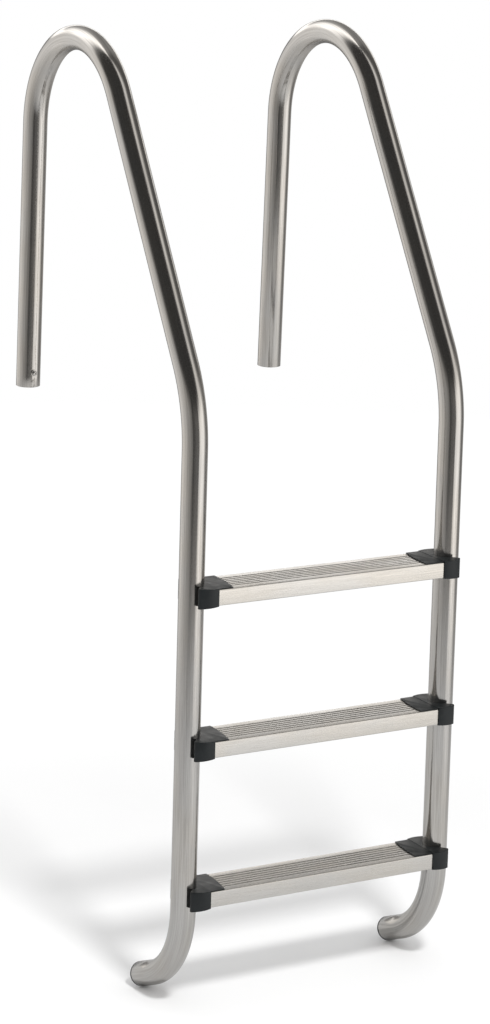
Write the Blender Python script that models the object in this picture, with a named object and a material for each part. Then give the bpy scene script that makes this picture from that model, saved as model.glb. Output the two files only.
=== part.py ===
"""Three-step in-ground pool ladder: bent tube rails, channel treads, moulded end caps and their fasteners.

Frame: +Z up, X across the ladder, +Y from the water towards the deck. The origin is midway between the
lower ends of the two deck legs, where the deck anchors hold the ladder. Metres throughout.
"""
import math

import bmesh
import bpy
from mathutils import Matrix, Vector

# Rails: tube and centreline, followed from the deck leg's open end to the tip of the wall hook
TUBE_RADIUS = 0.0215
TUBE_WALL = 0.0015
TUBE_SIDES = 24
RAIL_SPACING = 0.500
LEG_LENGTH = 0.476
LEG_SPLAY = math.radians(1.4)
LOOP_RADIUS = 0.1695
SLANT_LENGTH = 0.486
SLANT_ANGLE = math.radians(31.5)
KNEE_RADIUS = 0.264
UPRIGHT_LENGTH = 0.7855
HOOK_RADIUS = 0.158
HOOK_ANGLE = math.radians(67.3)
HOOK_TAIL = 0.044
LOOP_STEPS, KNEE_STEPS, HOOK_STEPS = 16, 5, 8
DRILL_START, DRILL_END = 0.008, 0.030
SIDES = {"left": -1, "right": 1}

# Treads: folded sheet channels with grooves along the top
TREAD_NAMES = ("top", "middle", "bottom")
TREAD_PITCH = 0.260
TOP_TREAD_BELOW_KNEE = 0.228
TREAD_LENGTH = 0.440
TREAD_DEPTH = 0.0805
TREAD_HEIGHT = 0.0275
SHEET = 0.0012
FOLD_RADIUS = 0.0018
FOLD_STEPS, INNER_FOLD_STEPS = 3, 2
HEM = 0.008
GROOVES = 6
GROOVE_PITCH = 0.0092
GROOVE_WIDTH = 0.0046
GROOVE_FLOOR = 0.0030
GROOVE_DEPTH = 0.0010

# End caps: a saddle block on the rail, an insert inside the channel and a flap over the tread
GAP = 0.0003
OVERLAP = 0.002
SEAM = RAIL_SPACING / 2 - TREAD_LENGTH / 2 - GAP
CAP_SEAM_TOP = 0.0021
CAP_LIP_TOP = 0.0036
CAP_SEAM_BOTTOM = -0.0283
CAP_LIP_BOTTOM = -0.0308
CAP_FACE = 0.0420
CAP_BULGE = 0.0022
LIP_START = 0.005
LIP_EDGE = -0.0054
LIP_FACE = 0.0387
LIP_CORNER = 0.0045
LIP_FLARE = 43
SADDLE_STEPS, CORNER_STEPS = 14, 5
INSERT_END = 0.052
INSERT_WALL = 0.003
INSERT_FIT = 0.0006
FLAP_TOP = 0.0019
FLAP_HALF = 0.0395
FLAP_REACH_NEAR = 0.057
FLAP_REACH_FAR = 0.065
FLAP_BOW = 0.003
FLAP_STEPS = 6
CLAMP_WALL_END = 0.0315

# Fasteners
BOLT_DROP = 0.0145
BOLT_RADIUS = 0.004
BOLT_HOLE = 0.0046
BOLT_TIP = 0.0105
BOLT_BORE_START = 0.010
HEX_FLATS = 0.013
HEX_HEIGHT = 0.0053
WASHER_RADIUS = 0.008
WASHER_BORE = 0.0044
WASHER_THICK = 0.0016
ROUND_SIDES = 16
NUT_SEAT = TUBE_RADIUS + GAP
NUT_FIT = 0.0005
RIVET_NUT = {"bore": 0.0043, "barrel": 0.0055, "bulge": 0.0068, "flange": 0.0075, "flange_thick": 0.0012,
             "bulge_start": 0.0183, "bulge_end": 0.0153, "end": 0.0088}
BONDING_NUT = {"bore": 0.0028, "barrel": 0.0036, "bulge": 0.0046, "flange": 0.0050, "flange_thick": 0.0008,
               "bulge_start": 0.0190, "bulge_end": 0.0170, "end": 0.0125}

# Bonding screw on the left leg
BONDING_HEIGHT = 0.0265
BONDING_SHANK = 0.0025
BONDING_HEAD = 0.0044
BONDING_HEAD_HEIGHT = 0.0030
BONDING_HEAD_SHAPE = ((0.4, 1.0), (0.8, 0.85), (1.0, 0.6))
BONDING_SOCKET_FLATS = 0.0030
BONDING_SOCKET_DEPTH = 0.0016
BONDING_WASHER = 0.0058
BONDING_WASHER_THICK = 0.0010

# Plugs in the hooks
PLUG_INSERT = 0.020
PLUG_FACE = 0.003
PLUG_DOME = 0.0025
PLUG_WALL = 0.003
PLUG_DOME_SHAPE = ((0, 0.0), (30, 0.0008), (60, 0.0030), (90, 0.0080))

SHARP_ANGLE = math.radians(35)
WELD = 0.00001
MATERIALS = {
    "satin_steel": ((0.62, 0.60, 0.57, 1.0), 1.0, 0.30),
    "tread_steel": ((0.68, 0.66, 0.62, 1.0), 1.0, 0.38),
    "cap_plastic": ((0.030, 0.034, 0.036, 1.0), 0.0, 0.45),
    "plug_rubber": ((0.018, 0.018, 0.018, 1.0), 0.0, 0.65),
    "fastener_steel": ((0.70, 0.69, 0.67, 1.0), 1.0, 0.25),
}


def clear_scene():
    """Removes every object so that the model starts from nothing."""
    for old in list(bpy.data.objects):
        bpy.data.objects.remove(old, do_unlink=True)


def material(name):
    """Returns one of the ladder's finishes, made on first use."""
    made = bpy.data.materials.get(name)
    if made is None:
        colour, metallic, roughness = MATERIALS[name]
        made = bpy.data.materials.new(name)
        made.use_nodes = True
        shader = made.node_tree.nodes["Principled BSDF"]
        shader.inputs["Base Color"].default_value = colour
        shader.inputs["Metallic"].default_value = metallic
        shader.inputs["Roughness"].default_value = roughness
    return made


def add_object(name, bm, finish=None, place=None):
    """Turns a bmesh into a named object with its own copy of a finish, at a place given as a matrix."""
    bmesh.ops.recalc_face_normals(bm, faces=bm.faces)
    mesh = bpy.data.meshes.new(name)
    bm.to_mesh(mesh)
    bm.free()
    piece = bpy.data.objects.new(name, mesh)
    bpy.context.scene.collection.objects.link(piece)
    if place is not None:
        piece.matrix_world = place
    if finish is not None:
        own = material(finish).copy()
        own.name = name + "_finish"
        mesh.materials.append(own)
        mesh.shade_smooth()
        mesh.set_sharp_from_angle(angle=SHARP_ANGLE)
    return piece


def boolean(piece, cutter, operation="DIFFERENCE"):
    """Cuts a piece with a guide object, or joins the two, and hides the guide."""
    cutter.hide_render = True
    cutter.display_type = "WIRE"
    change = piece.modifiers.new(cutter.name, "BOOLEAN")
    change.operation = operation
    change.solver = "EXACT"
    change.object = cutter


def add_rod(bm, radius, start, end, sides=ROUND_SIDES):
    """Adds a closed cylinder, or a hexagonal bar, between two points on the X axis."""
    turn = Matrix.Rotation(math.radians(90), 4, "Y")
    centre = Matrix.Translation(((start + end) / 2, 0, 0))
    bmesh.ops.create_cone(bm, cap_ends=True, segments=sides, radius1=radius, radius2=radius,
                          depth=abs(end - start), matrix=centre @ turn)


def turned(profile, sides=ROUND_SIDES, closed=True):
    """Spins an outline of (distance along X, radius) points about X; an open one ends on the axis."""
    bm = bmesh.new()
    ring = [bm.verts.new((along, 0, radius)) for along, radius in profile]
    ends = ring[1:] + ring[:1] if closed else ring[1:]
    edges = [bm.edges.new((a, b)) for a, b in zip(ring, ends)]
    bmesh.ops.spin(bm, geom=ring + edges, cent=(0, 0, 0), axis=(1, 0, 0),
                   angle=math.tau, steps=sides, use_duplicate=False)
    bmesh.ops.remove_doubles(bm, verts=bm.verts, dist=WELD)
    return bm


def plate(outline, low, high):
    """Extrudes a closed plan outline of (x, y) points from one height to another."""
    bm = bmesh.new()
    face = bm.faces.new([bm.verts.new((x, y, low)) for x, y in outline])
    grown = bmesh.ops.extrude_face_region(bm, geom=[face])
    tops = [item for item in grown["geom"] if isinstance(item, bmesh.types.BMVert)]
    bmesh.ops.translate(bm, verts=tops, vec=(0, 0, high - low))
    return bm


def arc(centre, radius, start, end, steps):
    """Returns points on an arc, from one angle to another in degrees."""
    angles = (math.radians(start + (end - start) * step / steps) for step in range(steps + 1))
    return [(centre[0] + radius * math.cos(a), centre[1] + radius * math.sin(a)) for a in angles]


def box(low, high):
    """Makes a closed box between two corners."""
    bm = bmesh.new()
    bmesh.ops.create_cube(bm, size=1.0)
    size = Vector(high) - Vector(low)
    bmesh.ops.scale(bm, verts=bm.verts, vec=size)
    bmesh.ops.translate(bm, verts=bm.verts, vec=(Vector(high) + Vector(low)) / 2)
    return bm


# --- rail centreline -------------------------------------------------------------------------------

def heading(angle):
    """Returns the direction that leans from +Z towards -Y by an angle."""
    return Vector((0, -math.sin(angle), math.cos(angle)))


def rail_stretches():
    """Lists the rail's stretches in order as (length, bend radius, bend angle, steps)."""
    loop_angle = math.pi - SLANT_ANGLE - LEG_SPLAY
    return (
        (LEG_LENGTH, None, None, None),
        (None, LOOP_RADIUS, loop_angle, LOOP_STEPS),
        (SLANT_LENGTH, None, None, None),
        (None, KNEE_RADIUS, SLANT_ANGLE, KNEE_STEPS),
        (UPRIGHT_LENGTH, None, None, None),
        (None, HOOK_RADIUS, HOOK_ANGLE, HOOK_STEPS),
        (HOOK_TAIL, None, None, None),
    )


def walk_rail():
    """Yields each stretch with the point and the lean where it starts, and last the hook's tip."""
    point, lean = Vector((0, 0, 0)), LEG_SPLAY
    for length, radius, angle, steps in rail_stretches():
        yield point, lean, length, radius, angle, steps
        if length is not None:
            point = point + heading(lean) * length
        else:
            centre = point + heading(lean + math.pi / 2) * radius
            point = centre + Matrix.Rotation(angle, 3, "X") @ (point - centre)
            lean += angle
    yield point, lean, None, None, None, None


def rail_landmarks():
    """Returns the knee's lower end, and the hook's tip with its lean."""
    stations = list(walk_rail())
    return stations[4][0], stations[-1][0], stations[-1][1]


KNEE_END, HOOK_TIP, HOOK_LEAN = rail_landmarks()
UPRIGHT_Y = KNEE_END.y
TREAD_TOPS = {name: KNEE_END.z - TOP_TREAD_BELOW_KNEE - step * TREAD_PITCH
              for step, name in enumerate(TREAD_NAMES)}


def only(kind, items):
    """Keeps one kind of bmesh element."""
    return [item for item in items if isinstance(item, kind)]


def rail_mesh():
    """Sweeps the tube's outer circle along the centreline, open at both ends."""
    bm = bmesh.new()
    bmesh.ops.create_circle(bm, segments=TUBE_SIDES, radius=TUBE_RADIUS,
                            matrix=Matrix.Rotation(LEG_SPLAY, 4, "X"))
    section = list(bm.verts) + list(bm.edges)
    for point, lean, length, radius, angle, steps in walk_rail():
        if length is not None:
            grown = bmesh.ops.extrude_edge_only(bm, edges=only(bmesh.types.BMEdge, section))["geom"]
            section = only((bmesh.types.BMVert, bmesh.types.BMEdge), grown)
            bmesh.ops.translate(bm, verts=only(bmesh.types.BMVert, section), vec=heading(lean) * length)
        elif radius is not None:
            centre = point + heading(lean + math.pi / 2) * radius
            section = bmesh.ops.spin(bm, geom=section, cent=centre, axis=(1, 0, 0),
                                     angle=angle, steps=steps)["geom_last"]
    return bm


# --- treads ----------------------------------------------------------------------------------------

def groove_points():
    """Lists the tread's top surface from front to back: one trapezoid for each groove."""
    points = []
    for index in range(GROOVES):
        centre = (index - (GROOVES - 1) / 2) * GROOVE_PITCH
        points += [(centre - GROOVE_WIDTH / 2, 0.0), (centre - GROOVE_FLOOR / 2, -GROOVE_DEPTH),
                   (centre + GROOVE_FLOOR / 2, -GROOVE_DEPTH), (centre + GROOVE_WIDTH / 2, 0.0)]
    return points


def tread_mesh():
    """Makes a channel: a grooved top, two flanges and a hem turned in along each flange's foot."""
    half, inner = TREAD_DEPTH / 2, FOLD_RADIUS - SHEET
    side, foot = half - FOLD_RADIUS, FOLD_RADIUS - TREAD_HEIGHT
    under = -GROOVE_DEPTH - SHEET
    front = [(HEM - half, -TREAD_HEIGHT)]
    front += arc((-side, foot), FOLD_RADIUS, 270, 180, FOLD_STEPS)
    front += arc((-side, -FOLD_RADIUS), FOLD_RADIUS, 180, 90, FOLD_STEPS)
    back = [(-y, z) for y, z in reversed(front)]
    inside = [(half - HEM, SHEET - TREAD_HEIGHT)] + arc((side, foot), inner, -90, 0, INNER_FOLD_STEPS)
    inside += [(half - SHEET, under)]
    inside += [(-y, z) for y, z in reversed(inside)]
    bm = plate(front + groove_points() + back + inside, -TREAD_LENGTH / 2, TREAD_LENGTH / 2)
    along_x = Matrix(((0, 0, 1), (1, 0, 0), (0, 1, 0)))
    bmesh.ops.transform(bm, matrix=along_x.to_4x4(), verts=bm.verts)
    return bm


# --- end caps: +X runs from the rail's axis towards the tread's middle, and z = 0 is the tread's top -

def cap_block_mesh():
    """Makes the saddle block: two lips flared round the rail, convex faces, and a top and foot that spread."""
    saddle = TUBE_RADIUS + GAP
    reach = math.degrees(math.acos(LIP_START / saddle))
    corner = (LIP_EDGE + LIP_CORNER, LIP_FACE - LIP_CORNER)
    middle = (SEAM + corner[0]) / 2
    face = [(SEAM, CAP_FACE), (middle, CAP_FACE + CAP_BULGE)]
    face += arc(corner, LIP_CORNER, 90, 180 + LIP_FLARE, CORNER_STEPS)
    outline = face + arc((0, 0), saddle, reach, -reach, SADDLE_STEPS) + [(x, -y) for x, y in reversed(face)]
    bm = plate(outline, CAP_SEAM_BOTTOM, CAP_SEAM_TOP)
    for vert in bm.verts:
        share = (SEAM - vert.co.x) / (SEAM - LIP_EDGE)
        rise = CAP_LIP_TOP - CAP_SEAM_TOP if vert.co.z > 0 else CAP_LIP_BOTTOM - CAP_SEAM_BOTTOM
        vert.co.z += rise * share
    return bm


def cap_flap_mesh():
    """Makes the thin flap over the tread, whose bowed inner edge runs further in at the back."""
    edge = []
    for step in range(FLAP_STEPS + 1):
        across = 2 * step / FLAP_STEPS - 1
        reach = (FLAP_REACH_NEAR + FLAP_REACH_FAR) / 2 + across * (FLAP_REACH_FAR - FLAP_REACH_NEAR) / 2
        edge.append((reach + FLAP_BOW * (1 - across ** 2), across * FLAP_HALF))
    inside = SEAM - OVERLAP
    return plate([(inside, -FLAP_HALF)] + edge + [(inside, FLAP_HALF)], GAP, FLAP_TOP)


def cap_template():
    """Joins the cap's block, insert and flap, and cuts the pocket, the bolt hole and the nut's recess."""
    half = TREAD_DEPTH / 2 - SHEET - INSERT_FIT
    low, high = SHEET + INSERT_FIT - TREAD_HEIGHT, -GROOVE_DEPTH - SHEET - GAP
    insert = box((SEAM - OVERLAP, -half, low), (INSERT_END, half, high))
    pocket = box((CLAMP_WALL_END, INSERT_WALL - half, CAP_LIP_BOTTOM - OVERLAP),
                 (INSERT_END - INSERT_WALL, half - INSERT_WALL, high - INSERT_WALL))
    hole, recess = bmesh.new(), bmesh.new()
    add_rod(hole, BOLT_HOLE, BOLT_BORE_START, CLAMP_WALL_END + OVERLAP)
    add_rod(recess, RIVET_NUT["flange"] + NUT_FIT, BOLT_BORE_START,
            NUT_SEAT + RIVET_NUT["flange_thick"] + NUT_FIT)
    for cutter in (hole, recess):
        bmesh.ops.translate(cutter, verts=cutter.verts, vec=(0, 0, -BOLT_DROP))
    block = add_object("cap_template", cap_block_mesh())
    guides = [add_object("cap_insert_guide", insert), add_object("cap_flap_guide", cap_flap_mesh()),
              add_object("cap_pocket_guide", pocket), add_object("cap_hole_guide", hole),
              add_object("cap_recess_guide", recess)]
    for guide, operation in zip(guides, ("UNION", "UNION", "DIFFERENCE", "DIFFERENCE", "DIFFERENCE")):
        boolean(block, guide, operation)
    return finished_mesh(block, guides)


def finished_mesh(template, guides):
    """Returns a template's mesh with its modifiers applied, and removes the template and its guides."""
    evaluated = template.evaluated_get(bpy.context.evaluated_depsgraph_get())
    mesh = bpy.data.meshes.new_from_object(evaluated)
    for spent in [template] + guides:
        bpy.data.objects.remove(spent, do_unlink=True)
    return mesh


# --- fasteners: +X runs out of the rail from its axis ----------------------------------------------

def nut_mesh(nut):
    """Turns a rivet nut: a flange outside the tube wall and a bulge that grips it from inside."""
    outside = NUT_SEAT + nut["flange_thick"]
    return turned([(outside, nut["bore"]), (outside, nut["flange"]), (NUT_SEAT, nut["flange"]),
                   (NUT_SEAT, nut["barrel"]), (nut["bulge_start"], nut["barrel"]),
                   (nut["bulge_start"], nut["bulge"]), (nut["bulge_end"], nut["bulge"]),
                   (nut["bulge_end"], nut["barrel"]), (nut["end"], nut["barrel"]), (nut["end"], nut["bore"])])


def washer_mesh(bore, radius, start, thickness):
    """Turns a flat washer."""
    end = start + thickness
    return turned([(start, bore), (start, radius), (end, radius), (end, bore)])


def bolt_mesh():
    """Makes a hexagon head and its shank, from the washer's face to inside the rivet nut."""
    seat = CLAMP_WALL_END + WASHER_THICK + 2 * GAP
    head, shank = bmesh.new(), bmesh.new()
    add_rod(head, HEX_FLATS / math.sqrt(3), seat, seat + HEX_HEIGHT, sides=6)
    add_rod(shank, BOLT_RADIUS, BOLT_TIP, seat + HEX_HEIGHT / 2)
    template, guide = add_object("bolt_template", head), add_object("bolt_shank_guide", shank)
    boolean(template, guide, "UNION")
    return finished_mesh(template, [guide])


def bonding_screw_mesh():
    """Turns a low round head and its shank, and sinks a hexagon socket in the head."""
    seat = NUT_SEAT + BONDING_NUT["flange_thick"] + BONDING_WASHER_THICK + 2 * GAP
    top = seat + BONDING_HEAD_HEIGHT
    profile = [(BONDING_NUT["end"], 0), (BONDING_NUT["end"], BONDING_SHANK), (seat, BONDING_SHANK),
               (seat, BONDING_HEAD)]
    profile += [(seat + lift * BONDING_HEAD_HEIGHT, share * BONDING_HEAD) for lift, share in BONDING_HEAD_SHAPE]
    socket = bmesh.new()
    add_rod(socket, BONDING_SOCKET_FLATS / math.sqrt(3), top - BONDING_SOCKET_DEPTH, top + OVERLAP, sides=6)
    template = add_object("screw_template", turned(profile + [(top, 0)], closed=False))
    guide = add_object("screw_socket_guide", socket)
    boolean(template, guide)
    return finished_mesh(template, [guide])


def plug_mesh():
    """Turns a hook plug: a hollow insert in the tube and a face over its end, domed up to a flat disc."""
    bore = TUBE_RADIUS - TUBE_WALL
    outside, inside = bore - GAP, bore - GAP - PLUG_WALL
    dome = [(PLUG_FACE + PLUG_DOME * math.sin(math.radians(lift)), TUBE_RADIUS - drop)
            for lift, drop in PLUG_DOME_SHAPE]
    profile = [(-PLUG_WALL, 0), (-PLUG_WALL, inside), (-PLUG_INSERT, inside), (-PLUG_INSERT, outside),
               (GAP, outside), (GAP, TUBE_RADIUS)] + dome
    return turned(profile + [(PLUG_FACE + PLUG_DOME, 0)], sides=TUBE_SIDES, closed=False)


# --- assembly --------------------------------------------------------------------------------------

def on_rail(side, height):
    """Returns the place of a cap's frame on a rail's upright, turned half round on the right."""
    turn = Matrix.Rotation(0 if SIDES[side] < 0 else math.pi, 4, "Z")
    return Matrix.Translation((SIDES[side] * RAIL_SPACING / 2, UPRIGHT_Y, height)) @ turn


def aligned(point, outward, upward):
    """Returns the place whose +X is outward and whose +Z is upward."""
    columns = (outward, upward.cross(outward), upward)
    return Matrix.Translation(point) @ Matrix(columns).transposed().to_4x4()


def bonding_place():
    """Returns the bonding screw's place, on the water side of the left leg just above its end."""
    point = Vector((-RAIL_SPACING / 2, 0, 0)) + heading(LEG_SPLAY) * BONDING_HEIGHT
    return aligned(point, heading(LEG_SPLAY + math.pi / 2), heading(LEG_SPLAY))


def add_copy(name, mesh, finish, place):
    """Adds an object with its own copy of a finished mesh."""
    bm = bmesh.new()
    bm.from_mesh(mesh)
    return add_object(name, bm, finish, place)


def add_rails():
    """Adds both rails, with a hole for each rivet nut."""
    for side, sign in SIDES.items():
        holes = bmesh.new()
        for height in TREAD_TOPS.values():
            hole = bmesh.new()
            add_rod(hole, RIVET_NUT["barrel"] + GAP, DRILL_START, DRILL_END)
            copy_into(holes, hole, on_rail(side, height - BOLT_DROP))
        if side == "left":
            hole = bmesh.new()
            add_rod(hole, BONDING_NUT["barrel"] + GAP, DRILL_START, DRILL_END)
            copy_into(holes, hole, bonding_place())
        rail = add_object("rail_" + side, rail_mesh(), "satin_steel",
                          Matrix.Translation((sign * RAIL_SPACING / 2, 0, 0)))
        wall = rail.modifiers.new("wall", "SOLIDIFY")
        wall.thickness, wall.offset, wall.use_even_offset = TUBE_WALL, -1, True
        boolean(rail, add_object("rail_holes_guide_" + side, holes))


def copy_into(target, source, place):
    """Moves a bmesh to a place and adds it to another."""
    bmesh.ops.transform(source, matrix=place, verts=source.verts)
    spare = bpy.data.meshes.new("spare")
    source.to_mesh(spare)
    source.free()
    target.from_mesh(spare)
    bpy.data.meshes.remove(spare)


def add_plugs():
    """Adds a plug to the tip of each hook."""
    for side, sign in SIDES.items():
        tip = HOOK_TIP + Vector((sign * RAIL_SPACING / 2, 0, 0))
        place = aligned(tip, heading(HOOK_LEAN), heading(HOOK_LEAN + math.pi / 2))
        add_object("foot_plug_" + side, plug_mesh(), "plug_rubber", place)


def add_treads():
    """Adds the three treads, each between two caps that a bolt, a washer and a rivet nut hold."""
    cap, bolt = cap_template(), bolt_mesh()
    for name, height in TREAD_TOPS.items():
        add_object("tread_" + name, tread_mesh(), "tread_steel", Matrix.Translation((0, UPRIGHT_Y, height)))
        for side in SIDES:
            bolt_place = on_rail(side, height - BOLT_DROP)
            washer = washer_mesh(WASHER_BORE, WASHER_RADIUS, CLAMP_WALL_END + GAP, WASHER_THICK)
            add_copy(f"end_cap_{name}_{side}", cap, "cap_plastic", on_rail(side, height))
            add_copy(f"tread_bolt_{name}_{side}", bolt, "fastener_steel", bolt_place)
            add_object(f"tread_washer_{name}_{side}", washer, "fastener_steel", bolt_place)
            add_object(f"rivet_nut_{name}_{side}", nut_mesh(RIVET_NUT), "fastener_steel", bolt_place)


def add_bonding_point():
    """Adds the bonding screw, its washer and its rivet nut to the left leg."""
    seat = NUT_SEAT + BONDING_NUT["flange_thick"] + GAP
    washer = washer_mesh(BONDING_SHANK + GAP, BONDING_WASHER, seat, BONDING_WASHER_THICK)
    place = bonding_place()
    add_copy("bonding_screw", bonding_screw_mesh(), "fastener_steel", place)
    add_object("bonding_washer", washer, "fastener_steel", place)
    add_object("bonding_rivet_nut", nut_mesh(BONDING_NUT), "fastener_steel", place)


def main():
    """Builds the ladder."""
    clear_scene()
    add_rails()
    add_plugs()
    add_treads()
    add_bonding_point()


main()
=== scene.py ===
"""Looks of a three-step in-ground pool ladder: satin stainless tube rails, ribbed treads, black end caps.

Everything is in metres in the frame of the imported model: +Z up, X across the ladder from the left rail to the
right, +Y from the water towards the deck. The origin is midway between the lower ends of the deck legs.
"""
import logging
import math
from collections.abc import Callable, Iterator
from dataclasses import dataclass, field
from enum import Enum

import bmesh
import bpy
import numpy as np
from mathutils import Matrix, Vector


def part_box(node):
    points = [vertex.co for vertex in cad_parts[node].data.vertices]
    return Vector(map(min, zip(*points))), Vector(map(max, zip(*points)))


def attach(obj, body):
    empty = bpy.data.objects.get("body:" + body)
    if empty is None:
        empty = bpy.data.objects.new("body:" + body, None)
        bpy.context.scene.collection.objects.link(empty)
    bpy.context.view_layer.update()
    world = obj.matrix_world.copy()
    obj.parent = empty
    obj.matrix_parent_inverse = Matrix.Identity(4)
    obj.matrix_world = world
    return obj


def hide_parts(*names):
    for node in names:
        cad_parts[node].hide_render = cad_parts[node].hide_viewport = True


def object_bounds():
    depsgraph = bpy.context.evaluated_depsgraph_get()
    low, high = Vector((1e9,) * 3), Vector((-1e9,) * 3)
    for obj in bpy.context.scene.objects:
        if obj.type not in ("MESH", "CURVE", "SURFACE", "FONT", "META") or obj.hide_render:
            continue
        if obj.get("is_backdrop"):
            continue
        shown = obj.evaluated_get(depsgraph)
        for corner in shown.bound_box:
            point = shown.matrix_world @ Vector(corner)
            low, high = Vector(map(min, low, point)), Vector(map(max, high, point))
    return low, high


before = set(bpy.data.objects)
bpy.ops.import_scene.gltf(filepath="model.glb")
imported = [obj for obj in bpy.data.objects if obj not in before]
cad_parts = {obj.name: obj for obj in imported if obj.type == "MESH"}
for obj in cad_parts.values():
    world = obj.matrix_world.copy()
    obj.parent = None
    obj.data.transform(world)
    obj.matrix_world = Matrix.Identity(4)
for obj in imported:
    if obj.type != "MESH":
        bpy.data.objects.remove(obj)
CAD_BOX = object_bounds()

log = logging.getLogger("pool_ladder")

BODY = "root"
GAP = 0.0003
MERGE = 0.00001


class Side(Enum):
    """The ladder's two sides, with the sign of their X."""

    LEFT = -1
    RIGHT = 1

    @property
    def word(self) -> str:
        """The side's name, as the nodes carry it."""
        return self.name.lower()


class Step(Enum):
    """The three treads, from the top one down."""

    TOP = "top"
    MIDDLE = "middle"
    BOTTOM = "bottom"


# --- workbench: bpy.ops modelling by hand, with edges picked by place and direction ---------------


class Bench:
    """Hand modelling steps that the classes below share."""

    @staticmethod
    def clear_selection() -> None:
        """Leaves edit mode and deselects every object."""
        if bpy.context.mode != "OBJECT":
            bpy.ops.object.mode_set(mode="OBJECT")
        bpy.ops.object.select_all(action="DESELECT")

    @staticmethod
    def take(piece: bpy.types.Object) -> None:
        """Makes one object the only selected and the active one.

        Args:
            piece: The object to work on.
        """
        Bench.clear_selection()
        piece.select_set(True)
        bpy.context.view_layer.objects.active = piece

    @staticmethod
    def named(name: str) -> bpy.types.Object:
        """Names the new primitive and its mesh, and opens it for editing with everything selected.

        Args:
            name: The piece's name.

        Returns:
            The new object, in edit mode.
        """
        piece = bpy.context.object
        piece.name = name
        piece.data.name = name
        bpy.ops.object.transform_apply(location=True, rotation=True, scale=True)
        Bench.edit(piece)
        bpy.ops.mesh.select_all(action="SELECT")
        return piece

    @staticmethod
    def edit(piece: bpy.types.Object) -> None:
        """Opens a piece for editing."""
        Bench.take(piece)
        bpy.ops.object.mode_set(mode="EDIT")

    @staticmethod
    def close(piece: bpy.types.Object) -> bpy.types.Object:
        """Leaves edit mode and returns the piece."""
        bpy.ops.object.mode_set(mode="OBJECT")
        return piece

    @staticmethod
    def pick_edges(piece: bpy.types.Object, wanted: Callable[[Vector, Vector, float], bool]) -> int:
        """Selects the edges that a test accepts, in edit mode.

        Args:
            piece: The object being edited.
            wanted: A test of an edge's middle, its direction and the angle between its faces.

        Returns:
            How many edges are selected.
        """
        bpy.ops.mesh.select_mode(type="EDGE")
        bpy.ops.mesh.select_all(action="DESELECT")
        bm = bmesh.from_edit_mesh(piece.data)
        bm.normal_update()
        found = []
        for edge in bm.edges:
            start, end = (vert.co for vert in edge.verts)
            fold = edge.calc_face_angle(0.0) if len(edge.link_faces) == 2 else math.pi
            if wanted((start + end) / 2, (end - start).normalized(), fold):
                found.append(edge)
        for edge in found:
            edge.select_set(True)
        bmesh.update_edit_mesh(piece.data)
        return len(found)

    @staticmethod
    def modifier(piece: bpy.types.Object, kind: str, **settings: object) -> None:
        """Adds a modifier with its settings and applies it.

        Args:
            piece: The object to change, in object mode.
            kind: The modifier's type.
            settings: Values for the modifier's properties.
        """
        Bench.take(piece)
        change = piece.modifiers.new(kind.lower(), kind)
        for name, value in settings.items():
            setattr(change, name, value)
        bpy.ops.object.modifier_apply(modifier=change.name)

    @staticmethod
    def cut(piece: bpy.types.Object, cutter: bpy.types.Object, operation: str = "DIFFERENCE") -> None:
        """Cuts a piece with another object, or joins the two, and throws the other one away.

        Args:
            piece: The object to change.
            cutter: The object that shapes it.
            operation: DIFFERENCE or UNION.
        """
        Bench.modifier(piece, "BOOLEAN", operation=operation, solver="EXACT", object=cutter)
        bpy.data.objects.remove(cutter, do_unlink=True)

    @staticmethod
    def placed_copy(piece: bpy.types.Object, name: str, place: Matrix) -> bpy.types.Object:
        """Copies a finished piece with its own mesh, moved to a place.

        Args:
            piece: The piece to copy.
            name: The copy's name.
            place: Where the copy goes.

        Returns:
            The copy, with its object at the origin.
        """
        mesh = piece.data.copy()
        mesh.name = name
        mesh.transform(place)
        copy = bpy.data.objects.new(name, mesh)
        bpy.context.scene.collection.objects.link(copy)
        return copy

    @staticmethod
    def smooth(piece: bpy.types.Object, angle: float = 32.0) -> None:
        """Shades a piece smooth, with sharp edges past an angle in degrees."""
        Bench.take(piece)
        bpy.ops.object.shade_smooth_by_angle(angle=math.radians(angle))

    @staticmethod
    def outline(name: str, points: list[tuple[float, float]], low: float, high: float) -> bpy.types.Object:
        """Draws a closed outline by moving a circle's points and extrudes it upwards.

        Args:
            name: The piece's name.
            points: The outline's (x, y) points in order.
            low: The height of the lower face.
            high: The height of the upper face.

        Returns:
            The extruded solid, in object mode.
        """
        Bench.clear_selection()
        bpy.ops.mesh.primitive_circle_add(vertices=len(points), radius=1.0, fill_type="NGON")
        piece = Bench.named(name)
        bm = bmesh.from_edit_mesh(piece.data)
        ring = sorted(bm.verts, key=lambda vert: vert.index)
        for vert, (x, y) in zip(ring, points):
            vert.co = (x, y, low)
        bmesh.update_edit_mesh(piece.data)
        bpy.ops.mesh.extrude_region_move(TRANSFORM_OT_translate={"value": (0, 0, high - low)})
        bpy.ops.mesh.select_all(action="SELECT")
        bpy.ops.mesh.normals_make_consistent(inside=False)
        return Bench.close(piece)

    @staticmethod
    def arc(centre: tuple[float, float], radius: float, start: float, end: float,
            steps: int) -> list[tuple[float, float]]:
        """Lists points on an arc.

        Args:
            centre: The arc's centre.
            radius: Its radius.
            start: Its first angle in degrees.
            end: Its last angle in degrees.
            steps: How many stretches it has.

        Returns:
            The points, both ends included.
        """
        angles = [math.radians(start + (end - start) * step / steps) for step in range(steps + 1)]
        return [(centre[0] + radius * math.cos(a), centre[1] + radius * math.sin(a)) for a in angles]


# --- finishes: shared node groups first, then one small class for each material -----------------------


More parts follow.
